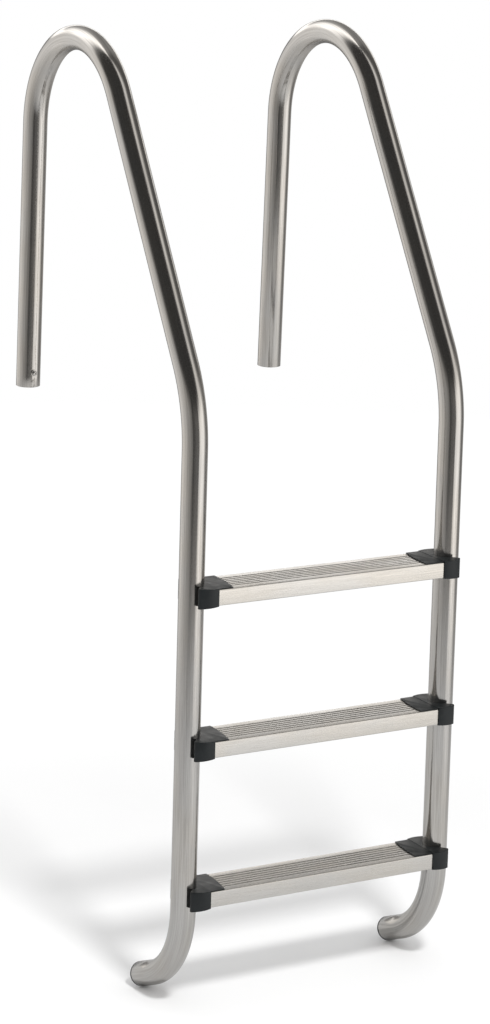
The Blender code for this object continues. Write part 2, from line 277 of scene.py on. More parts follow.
class Group:
    """A shader node group under construction, with short ways to add and join nodes."""

    def __init__(self, name: str, inputs: dict[str, tuple[str, object]], outputs: dict[str, str]) -> None:
        """Makes the empty group.

        Args:
            name: The group's name.
            inputs: The kind and the default of each input.
            outputs: The kind of each output.
        """
        self.tree = bpy.data.node_groups.new(name, "ShaderNodeTree")
        for label, (kind, default) in inputs.items():
            socket = self.tree.interface.new_socket(
                name=label, in_out="INPUT", socket_type="NodeSocket" + kind)
            if default is not None:
                socket.default_value = default
        for label, kind in outputs.items():
            self.tree.interface.new_socket(name=label, in_out="OUTPUT", socket_type="NodeSocket" + kind)
        self.source = self.tree.nodes.new("NodeGroupInput")
        self.sink = self.tree.nodes.new("NodeGroupOutput")

    def give(self, **results: bpy.types.NodeSocket) -> bpy.types.ShaderNodeTree:
        """Joins sockets to the group's outputs.

        Args:
            results: The socket that each output takes its value from.

        Returns:
            The finished group.
        """
        for label, socket in results.items():
            self.tree.links.new(socket, self.sink.inputs[label])
        return self.tree


@dataclass
class Nodes:
    """Adds nodes to a tree, each in one call.

    Args:
        tree: The node tree that the nodes go in.
    """

    tree: bpy.types.NodeTree

    def add(self, kind: str, inputs: dict[object, object] | None = None,
            **settings: object) -> bpy.types.Node:
        """Adds one node.

        Args:
            kind: The node's type, without its ShaderNode prefix.
            inputs: A value or a socket for each input, by name or number.
            settings: Values for the node's own properties.

        Returns:
            The new node.
        """
        node = self.tree.nodes.new("ShaderNode" + kind)
        for name, value in settings.items():
            setattr(node, name, value)
        for key, value in (inputs or {}).items():
            if isinstance(value, bpy.types.NodeSocket):
                self.tree.links.new(value, node.inputs[key])
            else:
                node.inputs[key].default_value = value
        return node

    def math(self, operation: str, *values: object) -> bpy.types.NodeSocket:
        """Adds a math node and returns its result."""
        return self.add("Math", dict(enumerate(values)), operation=operation).outputs[0]

    def remap(self, value: object, low: float, high: float, new_low: float,
              new_high: float) -> bpy.types.NodeSocket:
        """Maps a value smoothly from one range to another and returns the result."""
        inputs = {"Value": value, "From Min": low, "From Max": high, "To Min": new_low, "To Max": new_high}
        return self.add("MapRange", inputs, interpolation_type="SMOOTHSTEP").outputs["Result"]

    def scaled(self, vector: bpy.types.NodeSocket, scale: tuple[float, float, float]) -> bpy.types.NodeSocket:
        """Scales a place along each axis and returns the result."""
        return self.add("VectorMath", {0: vector, 1: scale}, operation="MULTIPLY").outputs[0]

    def noise(self, vector: bpy.types.NodeSocket, scale: object, detail: float = 2.0,
              roughness: float = 0.5) -> bpy.types.NodeSocket:
        """Adds fractal noise and returns its value."""
        inputs = {"Vector": vector, "Scale": scale, "Detail": detail, "Roughness": roughness}
        return self.add("TexNoise", inputs, noise_dimensions="3D").outputs[0]

    def mix(self, share: object, first: object, second: object,
            blend: str = "MIX") -> bpy.types.NodeSocket:
        """Mixes two colours.

        Args:
            share: How much of the second colour shows.
            first: The first colour, or a socket that gives it.
            second: The second colour, or a socket that gives it.
            blend: How the two are combined.

        Returns:
            The mixed colour.
        """
        node = self.add("Mix", {"Factor": share}, data_type="RGBA", blend_type=blend)
        for socket, value in ((node.inputs[6], first), (node.inputs[7], second)):
            if isinstance(value, bpy.types.NodeSocket):
                self.tree.links.new(value, socket)
            else:
                socket.default_value = value
        return node.outputs[2]


def group_node(nodes: Nodes, group: bpy.types.ShaderNodeTree, inputs: dict[str, object]) -> bpy.types.Node:
    """Places a node group in a tree with its own values.

    Args:
        nodes: The tree's node adder.
        group: The group to place.
        inputs: A value or a socket for each of its inputs.

    Returns:
        The group's node.
    """
    node = nodes.tree.nodes.new("ShaderNodeGroup")
    node.node_tree = group
    for key, value in inputs.items():
        if isinstance(value, bpy.types.NodeSocket):
            nodes.tree.links.new(value, node.inputs[key])
        else:
            node.inputs[key].default_value = value
    return node


def polish_group() -> bpy.types.ShaderNodeTree:
    """Makes the lengthwise polish: fine abrasive lines, wider streaks and slow cloudy changes.

    Returns:
        A group whose Place runs lengthwise along its Z, in metres.
    """
    group = Group("lengthwise_polish", {"Place": ("Vector", None), "Streak Size": ("Float", 0.0015)},
                  {"Lines": "Float", "Streaks": "Float", "Clouds": "Float"})
    nodes = Nodes(group.tree)
    place = group.source.outputs["Place"]
    fine = nodes.noise(nodes.scaled(place, (1.0, 1.0, 0.012)), 2600.0, 3.0, 0.6)
    wide = nodes.noise(nodes.scaled(place, (1.0, 1.0, 0.015)),
                       nodes.math("DIVIDE", 1.0, group.source.outputs["Streak Size"]), 2.0, 0.55)
    clouds = nodes.noise(nodes.scaled(place, (1.0, 1.0, 0.35)), 22.0, 3.0, 0.5)
    return group.give(Lines=fine, Streaks=wide, Clouds=clouds)


def dust_group() -> bpy.types.ShaderNodeTree:
    """Makes a mask of the dust that settles on faces that look up.

    Returns:
        A group that gives the share of dust at a place.
    """
    group = Group("settled_dust", {"Place": ("Vector", None), "Amount": ("Float", 0.2)}, {"Mask": "Float"})
    nodes = Nodes(group.tree)
    upward = nodes.add("SeparateXYZ", {0: nodes.add("NewGeometry").outputs["Normal"]}).outputs["Z"]
    flat = nodes.remap(upward, 0.55, 1.0, 0.0, 1.0)
    patches = nodes.remap(nodes.noise(group.source.outputs["Place"], 120.0, 5.0, 0.65), 0.35, 0.75, 0.0, 1.0)
    mask = nodes.math("MULTIPLY", nodes.math("MULTIPLY", flat, patches), group.source.outputs["Amount"])
    return group.give(Mask=mask)


def scuff_group() -> bpy.types.ShaderNodeTree:
    """Makes a mask of short random rub marks.

    Returns:
        A group that gives 1 in a mark and 0 elsewhere.
    """
    group = Group("scuffs", {"Place": ("Vector", None), "Scale": ("Float", 90.0), "Amount": ("Float", 0.3)},
                  {"Mask": "Float"})
    nodes = Nodes(group.tree)
    place, scale = group.source.outputs["Place"], group.source.outputs["Scale"]
    bent = nodes.add("VectorMath", {0: place, 1: nodes.scaled(
        nodes.add("TexNoise", {"Vector": place, "Scale": scale, "Detail": 1.0}).outputs["Color"],
        (0.01, 0.01, 0.01))}, operation="ADD").outputs[0]
    thin = nodes.noise(nodes.scaled(bent, (1.0, 6.0, 6.0)), scale, 2.0, 0.5)
    marks = nodes.remap(thin, 0.62, 0.72, 0.0, 1.0)
    where = nodes.remap(nodes.noise(place, 35.0, 2.0, 0.5), 0.45, 0.7, 0.0, 1.0)
    return group.give(Mask=nodes.math("MULTIPLY", nodes.math("MULTIPLY", marks, where),
                                      group.source.outputs["Amount"]))


def grain_group() -> bpy.types.ShaderNodeTree:
    """Makes the spark-eroded grain of a moulded plastic face.

    Returns:
        A group that gives the grain's height and its broad unevenness.
    """
    group = Group("mould_grain", {"Place": ("Vector", None), "Grain Size": ("Float", 0.0004)},
                  {"Height": "Float", "Flow": "Float"})
    nodes = Nodes(group.tree)
    place = group.source.outputs["Place"]
    scale = nodes.math("DIVIDE", 1.0, group.source.outputs["Grain Size"])
    cells = nodes.add("TexVoronoi", {"Vector": place, "Scale": scale},
                      feature="SMOOTH_F1").outputs["Distance"]
    rough = nodes.noise(place, scale, 3.0, 0.6)
    height = nodes.math("ADD", nodes.math("MULTIPLY", cells, 0.6), nodes.math("MULTIPLY", rough, 0.4))
    return group.give(Height=height, Flow=nodes.noise(place, 60.0, 3.0, 0.5))


class Along(Enum):
    """Where a steel surface's lengthwise direction comes from."""

    TUBE = "tube"
    TREAD = "tread"
    SHANK = "shank"


@dataclass(frozen=True)
class Steel:
    """Stainless steel with a lengthwise satin polish.

    Args:
        name: The material's name.
        along: Where the polish's direction comes from.
        light: The colour between the abrasive lines.
        dark: The colour in them.
        shine: The lowest and the highest roughness.
        streak: The width of the visible streaks.
        relief: The depth that the abrasive lines seem to have.
        dust: The share of dust on faces that look up.
        groove_shade: How much painted shade darkens the bottom of a pressed groove.
    """

    name: str
    along: Along
    light: tuple[float, float, float, float]
    dark: tuple[float, float, float, float]
    shine: tuple[float, float]
    streak: float
    relief: float
    dust: float
    groove_shade: float = 0.0

    def place(self, nodes: Nodes) -> bpy.types.NodeSocket:
        """Finds the place whose Z runs along the polish.

        Args:
            nodes: The material's node adder.

        Returns:
            The place.
        """
        if self.along is Along.TUBE:
            return nodes.add("Attribute", attribute_name="tube_place").outputs["Vector"]
        local = nodes.add("TexCoord").outputs["Object"]
        if self.along is Along.SHANK:
            return local
        turned = {"Vector": local, "Rotation": (0.0, math.pi / 2, 0.0)}
        return nodes.add("Mapping", turned).outputs[0]

    def build(self, polish: bpy.types.ShaderNodeTree, dust: bpy.types.ShaderNodeTree,
              scuffs: bpy.types.ShaderNodeTree) -> bpy.types.Material:
        """Makes the material.

        Args:
            polish: The shared group of the lengthwise polish.
            dust: The shared group of settled dust.
            scuffs: The shared group of rub marks.

        Returns:
            The finished material.
        """
        made = bpy.data.materials.new(self.name)
        made.use_nodes = True
        nodes = Nodes(made.node_tree)
        shader = made.node_tree.nodes["Principled BSDF"]
        place = self.place(nodes)
        lines = group_node(nodes, polish, {"Place": place, "Streak Size": self.streak})
        marks = group_node(nodes, scuffs, {"Place": place, "Amount": 0.35})
        settled = group_node(nodes, dust, {"Place": place, "Amount": self.dust})
        grain = nodes.math("ADD", nodes.math("MULTIPLY", lines.outputs["Streaks"], 0.6),
                           nodes.math("MULTIPLY", lines.outputs["Lines"], 0.4))
        steel = nodes.mix(nodes.remap(grain, 0.32, 0.68, 0.0, 1.0), self.dark, self.light)
        warm = nodes.mix(nodes.remap(lines.outputs["Clouds"], 0.35, 0.65, 0.0, 1.0),
                         (1.0, 0.985, 0.965, 1.0), (0.985, 0.99, 1.0, 1.0))
        tinted = nodes.mix(1.0, steel, warm, "MULTIPLY")
        # Painted shade: the bottoms of the grooves are darkened towards a dark brown, more the deeper they lie.
        if self.groove_shade:
            groove = nodes.add("Attribute", attribute_name="groove_share").outputs["Fac"]
            tinted = nodes.mix(nodes.math("MULTIPLY", groove, self.groove_shade), tinted, (0.10, 0.095, 0.09, 1.0))
        coloured = nodes.mix(settled.outputs["Mask"], tinted, (0.55, 0.53, 0.50, 1.0))
        rough = nodes.remap(nodes.math("ADD", nodes.math("MULTIPLY", grain, 0.7),
                                       nodes.math("MULTIPLY", lines.outputs["Clouds"], 0.3)),
                            0.3, 0.7, self.shine[1], self.shine[0])
        worn = nodes.math("ADD", rough, nodes.math("MULTIPLY", marks.outputs["Mask"], 0.10))
        dusty = nodes.math("ADD", worn, nodes.math("MULTIPLY", settled.outputs["Mask"], 0.25))
        bump = nodes.add("Bump", {"Strength": 1.0, "Distance": self.relief, "Height": grain})
        shader.inputs["Metallic"].default_value = 1.0
        for socket, label in ((coloured, "Base Color"), (dusty, "Roughness"), (bump.outputs[0], "Normal")):
            made.node_tree.links.new(socket, shader.inputs[label])
        return made


@dataclass(frozen=True)
class Moulded:
    """Moulded black plastic or rubber with a fine grain.

    Args:
        name: The material's name.
        colour: The colour of a clean face.
        worn: The colour of a rub mark.
        shine: The lowest and the highest roughness.
        grain: The size of the grain.
        relief: The depth that the grain seems to have.
        dust: The share of dust on faces that look up.
        gloss: How strongly a face reflects.
    """

    name: str
    colour: tuple[float, float, float, float]
    worn: tuple[float, float, float, float]
    shine: tuple[float, float]
    grain: float
    relief: float
    dust: float
    gloss: float = 0.36

    def build(self, mould: bpy.types.ShaderNodeTree, dust: bpy.types.ShaderNodeTree,
              scuffs: bpy.types.ShaderNodeTree) -> bpy.types.Material:
        """Makes the material.

        Args:
            mould: The shared group of the mould's grain.
            dust: The shared group of settled dust.
            scuffs: The shared group of rub marks.

        Returns:
            The finished material.
        """
        made = bpy.data.materials.new(self.name)
        made.use_nodes = True
        nodes = Nodes(made.node_tree)
        shader = made.node_tree.nodes["Principled BSDF"]
        place = nodes.add("TexCoord").outputs["Object"]
        face = group_node(nodes, mould, {"Place": place, "Grain Size": self.grain})
        marks = group_node(nodes, scuffs, {"Place": place, "Scale": 140.0, "Amount": 0.5})
        settled = group_node(nodes, dust, {"Place": place, "Amount": self.dust})
        flow = nodes.remap(face.outputs["Flow"], 0.3, 0.7, 0.82, 1.18)
        base = nodes.mix(1.0, self.colour, nodes.add("CombineColor", {0: flow, 1: flow, 2: flow}).outputs[0],
                         "MULTIPLY")
        rubbed = nodes.mix(marks.outputs["Mask"], base, self.worn)
        dusty = nodes.mix(settled.outputs["Mask"], rubbed, (0.22, 0.21, 0.20, 1.0))
        rough = nodes.remap(face.outputs["Flow"], 0.3, 0.7, *self.shine)
        worn = nodes.math("SUBTRACT", rough, nodes.math("MULTIPLY", marks.outputs["Mask"], 0.08))
        bump = nodes.add("Bump", {"Strength": 1.0, "Distance": self.relief, "Height": face.outputs["Height"]})
        shader.inputs["Specular IOR Level"].default_value = self.gloss
        for socket, label in ((dusty, "Base Color"), (worn, "Roughness"), (bump.outputs[0], "Normal")):
            made.node_tree.links.new(socket, shader.inputs[label])
        return made


@dataclass
class Finishes:
    """The ladder's five finishes, made once."""

    satin_steel: bpy.types.Material = field(init=False)
    tread_steel: bpy.types.Material = field(init=False)
    fastener_steel: bpy.types.Material = field(init=False)
    cap_plastic: bpy.types.Material = field(init=False)
    plug_rubber: bpy.types.Material = field(init=False)

    def __post_init__(self) -> None:
        """Builds the shared groups and the materials."""
        polish, dust, scuffs, grain = polish_group(), dust_group(), scuff_group(), grain_group()
        self.satin_steel = Steel("satin_steel", Along.TUBE, (0.66, 0.645, 0.62, 1.0),
                                 (0.50, 0.485, 0.465, 1.0), (0.10, 0.20), 0.0016, 0.0000015,
                                 0.02).build(polish, dust, scuffs)
        self.tread_steel = Steel("tread_steel", Along.TREAD, (0.76, 0.74, 0.705, 1.0),
                                 (0.66, 0.64, 0.605, 1.0), (0.20, 0.32), 0.0012, 0.000003,
                                 0.04, 0.24).build(polish, dust, scuffs)
        self.fastener_steel = Steel("fastener_steel", Along.SHANK, (0.70, 0.69, 0.67, 1.0),
                                    (0.55, 0.54, 0.53, 1.0), (0.18, 0.34), 0.0008, 0.000004,
                                    0.0).build(polish, dust, scuffs)
        self.cap_plastic = Moulded("cap_plastic", (0.010, 0.0125, 0.0135, 1.0), (0.055, 0.058, 0.060, 1.0),
                                   (0.36, 0.48), 0.0005, 0.00003, 0.06).build(grain, dust, scuffs)
        self.plug_rubber = Moulded("plug_rubber", (0.010, 0.010, 0.011, 1.0), (0.05, 0.05, 0.05, 1.0),
                                   (0.60, 0.78), 0.0008, 0.00004, 0.05).build(grain, dust, scuffs)

    def dress(self, piece: bpy.types.Object, slot: str) -> None:
        """Gives a piece one of the finishes.

        Args:
            piece: The mesh object, new or from the frame.
            slot: The material slot, which names the finish.
        """
        material = getattr(self, slot)
        if piece.data.materials:
            for index in range(len(piece.data.materials)):
                piece.data.materials[index] = material
        else:
            piece.data.materials.append(material)


def settle(piece: bpy.types.Object, slot: str, finishes: Finishes, *nodes: str) -> None:
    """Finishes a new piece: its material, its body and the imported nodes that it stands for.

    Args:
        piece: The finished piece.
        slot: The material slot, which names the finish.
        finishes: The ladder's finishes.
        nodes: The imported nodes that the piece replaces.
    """
    finishes.dress(piece, slot)
    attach(piece, BODY)
    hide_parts(*nodes)
    log.info("%s: %d faces, stands for %s", piece.name, len(piece.data.polygons), ", ".join(nodes))


# --- rails --------------------------------------------------------------------------------------------


@dataclass(frozen=True)
class Stretch:
    """One straight run or one bend of the centreline.

    Args:
        start: The point in the rail's own upright plane where it starts.
        lean: The direction's lean there, from +Z towards -Y, in radians.
        length: A straight run's length, or 0.
        radius: A bend's radius, or 0.
        angle: A bend's angle in radians.
        steps: How many faces it has along its length.
    """

    start: Vector
    lean: float
    length: float
    radius: float
    angle: float
    steps: int

    @property
    def run(self) -> float:
        """The stretch's length along the centreline."""
        return self.length or self.radius * self.angle

    @property
    def centre(self) -> Vector:
        """The centre of a bend."""
        return self.start + heading(self.lean + math.pi / 2) * self.radius

    @property
    def end(self) -> Vector:
        """The point where it ends."""
        if self.length:
            return self.start + heading(self.lean) * self.length
        return self.centre + Matrix.Rotation(self.angle, 3, "X") @ (self.start - self.centre)


def heading(lean: float) -> Vector:
    """Returns the direction that leans from +Z towards -Y by an angle in radians."""
    return Vector((0.0, -math.sin(lean), math.cos(lean)))


@dataclass(frozen=True)
class RailLine:
    """The centreline that both rails follow, from the deck leg's open end to the tip of the wall hook.

    Args:
        leg: The deck leg's straight length.
        splay: The leg's lean in radians.
        loop_radius: The grab loop's radius.
        slant: The slanted stretch's length.
        slant_angle: Its angle in radians.
        knee_radius: The knee's radius.
        upright: The upright's length.
        hook_radius: The wall hook's radius.
        hook_angle: How far the hook turns, in radians.
        tail: The straight length at its tip.
    """

    leg: float = 0.476
    splay: float = math.radians(1.4)
    loop_radius: float = 0.1695
    slant: float = 0.486
    slant_angle: float = math.radians(31.5)
    knee_radius: float = 0.264
    upright: float = 0.7855
    hook_radius: float = 0.158
    hook_angle: float = math.radians(67.3)
    tail: float = 0.044

    def stretches(self) -> Iterator[Stretch]:
        """Walks along the rail.

        Yields:
            Each stretch in order.
        """
        plan = ((self.leg, 0.0, 0.0, 1), (0.0, self.loop_radius, math.pi - self.slant_angle - self.splay, 56),
                (self.slant, 0.0, 0.0, 1), (0.0, self.knee_radius, self.slant_angle, 18),
                (self.upright, 0.0, 0.0, 1), (0.0, self.hook_radius, self.hook_angle, 28),
                (self.tail, 0.0, 0.0, 1))
        point, lean = Vector((0.0, 0.0, 0.0)), self.splay
        for length, radius, angle, steps in plan:
            stretch = Stretch(point, lean, length, radius, angle, steps)
            yield stretch
            point, lean = stretch.end, lean + angle

    def straightened(self, points: np.ndarray) -> np.ndarray:
        """Gives each point its place on the same tube before it was bent.

        Args:
            points: The places relative to the rail's origin, one row each.

        Returns:
            The offset across, the offset in the bend's plane and the length along, one row each.
        """
        best = np.full(len(points), np.inf)
        result = np.zeros((len(points), 3))
        travelled = 0.0
        for stretch in self.stretches():
            if stretch.length:
                local = points - np.array(stretch.start)
                along = local @ np.array(heading(stretch.lean))
                off = local @ np.array(heading(stretch.lean + math.pi / 2))
            else:
                local = points - np.array(stretch.centre)
                start = stretch.lean - math.pi / 2
                turn = np.arctan2(-local[:, 1], local[:, 2]) - start
                turn = (turn + math.pi) % math.tau - math.pi
                along = turn * stretch.radius
                off = stretch.radius - np.hypot(local[:, 1], local[:, 2])
            missed = np.maximum(np.maximum(-along, along - stretch.run), 0.0) + np.abs(off)
            nearer = missed < best - MERGE
            best[nearer] = missed[nearer]
            result[nearer] = np.column_stack([points[:, 0], off, travelled + along])[nearer]
            travelled += stretch.run
        return result


@dataclass
class Rail:
    """One bent tube rail: deck leg, grab loop, slanted rail, upright and wall hook.

    Args:
        side: Which rail it is.
        line: The centreline.
        treads: The heights of the treads' tops.
        radius: The tube's outer radius.
        wall: The tube's wall.
        sides: How many faces the tube has around.
        nut_drop: How far below a tread's top its rivet nut sits.
        nut_hole: The radius of a rivet nut's hole.
        bonding_height: The bonding screw's height on the left leg.
        bonding_hole: The radius of its rivet nut's hole.
        ring: Half the length of the short stretch of tube that holds a hole.
        rim: The size of the bevel round each open end.
    """

    side: Side
    line: RailLine
    treads: list[float]
    radius: float = 0.0215
    wall: float = 0.0015
    sides: int = 72
    nut_drop: float = 0.0145
    nut_hole: float = 0.0058
    bonding_height: float = 0.0265
    bonding_hole: float = 0.0039
    ring: float = 0.0075
    rim: float = 0.0004

    @property
    def name(self) -> str:
        """The rail's node."""
        return "rail_" + self.side.word

    @property
    def x(self) -> float:
        """The rail's place across the ladder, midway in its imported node."""
        low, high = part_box(self.name)
        return (low.x + high.x) / 2

    def marks(self, stretch: Stretch) -> list[float]:
        """Lists where a straight run gets an extra ring, so that a hole's edge stays local.

        Args:
            stretch: The straight run.

        Returns:
            Lengths from the run's start, in order.
        """
        heights = [height - self.nut_drop for height in self.treads]
        if self.side is Side.LEFT:
            heights.append(self.bonding_height)
        slope = heading(stretch.lean).z
        reach = [(height - stretch.start.z) / slope for height in heights if abs(slope) > 0.9]
        rings = [spot + step for spot in reach for step in (-self.ring, self.ring)]
        return sorted(spot for spot in rings if 0 < spot < stretch.length)

    def sweep(self) -> bpy.types.Object:
        """Extrudes and spins a circle along the centreline.

        Returns:
            The tube's outer skin, open at both ends, in edit mode.
        """
        Bench.clear_selection()
        bpy.ops.mesh.primitive_circle_add(vertices=self.sides, radius=self.radius, fill_type="NOTHING",
                                          location=(self.x, 0, 0), rotation=(self.line.splay, 0, 0))
        piece = Bench.named(self.name + "_tube")
        bpy.ops.mesh.select_mode(type="EDGE")
        bpy.ops.mesh.select_all(action="SELECT")
        for stretch in self.line.stretches():
            if stretch.length:
                spots = [0.0] + self.marks(stretch) + [stretch.length]
                for here, there in zip(spots, spots[1:]):
                    move = heading(stretch.lean) * (there - here)
                    bpy.ops.mesh.extrude_edges_move(TRANSFORM_OT_translate={"value": tuple(move)})
            else:
                centre = stretch.centre + Vector((self.x, 0, 0))
                bpy.ops.mesh.spin(steps=stretch.steps, angle=-stretch.angle, center=tuple(centre),
                                  axis=(1, 0, 0), dupli=False)
        return piece

    def drill(self, piece: bpy.types.Object, place: Vector, outward: Vector, radius: float) -> None:
        """Drills a hole for a rivet nut through one wall.

        Args:
            piece: The tube.
            place: A point on the tube's axis.
            outward: The direction from the axis through the wall.
            radius: The hole's radius.
        """
        Bench.clear_selection()
        turn = outward.to_track_quat("Z", "Y").to_euler()
        bpy.ops.mesh.primitive_cylinder_add(vertices=32, radius=radius, depth=self.radius, rotation=turn,
                                            location=place + outward * self.radius)
        Bench.cut(piece, bpy.context.object)

    def build(self, finishes: Finishes) -> bpy.types.Object:
        """Models the rail.

        Args:
            finishes: The ladder's finishes.

        Returns:
            The finished rail.
        """
        piece = self.sweep()
        bpy.ops.mesh.select_all(action="SELECT")
        bpy.ops.mesh.remove_doubles(threshold=MERGE)
        bpy.ops.mesh.normals_make_consistent(inside=False)
        Bench.close(piece)
        Bench.modifier(piece, "SOLIDIFY", thickness=self.wall, offset=-1, use_even_offset=True)
        Bench.edit(piece)
        tip = list(self.line.stretches())[-1]
        ends = ((Vector((self.x, 0, 0)), heading(self.line.splay)),
                (tip.end + Vector((self.x, 0, 0)), heading(tip.lean)))
        Bench.pick_edges(piece, lambda middle, way, fold: fold > 1.2 and any(
            abs((middle - point).dot(axis)) < self.rim for point, axis in ends))
        bpy.ops.mesh.bevel(offset=self.rim, segments=2, affect="EDGES")
        Bench.close(piece)
        upright = list(self.line.stretches())[4].end.y
        inward = Vector((-self.side.value, 0, 0))
        for height in self.treads:
            self.drill(piece, Vector((self.x, upright, height - self.nut_drop)), inward, self.nut_hole)
        if self.side is Side.LEFT:
            spot = Vector((self.x, 0, 0)) + heading(self.line.splay) * self.bonding_height
            self.drill(piece, spot, heading(self.line.splay + math.pi / 2), self.bonding_hole)
        Bench.smooth(piece)
        self.remember_tube(piece)
        settle(piece, "satin_steel", finishes, self.name)
        return piece

    def remember_tube(self, piece: bpy.types.Object) -> None:
        """Stores each point's place on the straight tube, which the polish follows.

        Args:
            piece: The finished tube.
        """
        points = np.array([vert.co for vert in piece.data.vertices], float) - np.array((self.x, 0.0, 0.0))
        attribute = piece.data.attributes.new("tube_place", "FLOAT_VECTOR", "POINT")
        attribute.data.foreach_set("vector", self.line.straightened(points).astype(np.float32).ravel())


@dataclass
class HookPlug:
    """The rubber plug that closes a hook's tip and rests against the pool wall.

    Args:
        side: Which rail it closes.
        line: The rail's centreline.
        x: The rail's place across the ladder.
        tube: The tube's outer radius.
        bore: Its inner radius.
        insert: How far the plug reaches into the tube.
        wall: The plug's own wall.
        face: How far its rim stands out of the tube.
        dome: How far the face bows out beyond the rim.
        dome_width: How far in from the edge the rounding reaches.
        soft: The chamfer at the insert's end.
        sides: How many sides the turned shape has.
    """

    side: Side
    line: RailLine
    x: float
    tube: float = 0.0215
    bore: float = 0.0200
    insert: float = 0.0200
    wall: float = 0.0030
    face: float = 0.0030
    dome: float = 0.0025
    dome_width: float = 0.0080
    soft: float = 0.0005
    sides: int = 72

    def profile(self) -> list[tuple[float, float]]:
        """Lists the turned outline, from the hollow out to the face.

        Returns:
            The (radius, place along the tube's axis) points.
        """
        outside = self.bore - GAP
        inside = outside - self.wall
        rounded = [(self.tube - self.dome_width * (1 - math.cos(turn)),
                    self.face + self.dome * math.sin(turn))
                   for turn in (math.radians(15 * step) for step in range(7))]
        return [(0.0, -self.wall), (inside, -self.wall), (inside, -self.insert),
                (outside - self.soft, -self.insert), (outside, self.soft - self.insert),
                (outside, GAP), (self.tube, GAP)] + rounded + [(0.0, self.face + self.dome)]

    def build(self, finishes: Finishes) -> bpy.types.Object:
        """Models the plug.

        Args:
            finishes: The ladder's finishes.

        Returns:
            The finished plug.
        """
        piece = turned_piece(f"foot_plug_{self.side.word}_rubber", self.profile(), self.sides)
        tip = list(self.line.stretches())[-1]
        turn = heading(tip.lean).to_track_quat("Z", "X").to_matrix().to_4x4()
        piece.data.transform(Matrix.Translation(tip.end + Vector((self.x, 0, 0))) @ turn)
        Bench.smooth(piece, 40.0)
        settle(piece, "plug_rubber", finishes, "foot_plug_" + self.side.word)
        return piece


def turned_piece(name: str, profile: list[tuple[float, float]], sides: int,
                 ring: bool = False) -> bpy.types.Object:
    """Turns an outline about the Z axis by hand: a chain of edges, spun in edit mode.

    Args:
        name: The piece's name.
        profile: The outline's (radius, height) points.
        sides: How many faces the piece has around.
        ring: Whether the outline closes on itself, as a washer's does.

    Returns:
        The turned solid, in object mode.
    """
    Bench.clear_selection()
    bpy.ops.mesh.primitive_circle_add(vertices=len(profile), radius=1.0, fill_type="NOTHING")
    piece = Bench.named(name)
    bm = bmesh.from_edit_mesh(piece.data)
    chain = sorted(bm.verts, key=lambda vert: vert.index)
    for vert, (radius, height) in zip(chain, profile):
        vert.co = (radius, 0.0, height)
    if not ring:
        closing = [edge for edge in bm.edges if {chain[0], chain[-1]} == set(edge.verts)]
        bmesh.ops.delete(bm, geom=closing, context="EDGES_FACES")
    bmesh.update_edit_mesh(piece.data)
    bpy.ops.mesh.select_all(action="SELECT")
    bpy.ops.mesh.spin(steps=sides, angle=math.tau, center=(0, 0, 0), axis=(0, 0, 1), dupli=False)
    bpy.ops.mesh.select_all(action="SELECT")
    bpy.ops.mesh.remove_doubles(threshold=MERGE)
    bpy.ops.mesh.select_all(action="SELECT")
    bpy.ops.mesh.normals_make_consistent(inside=False)
    return Bench.close(piece)


# --- treads and their end caps ------------------------------------------------------------------------


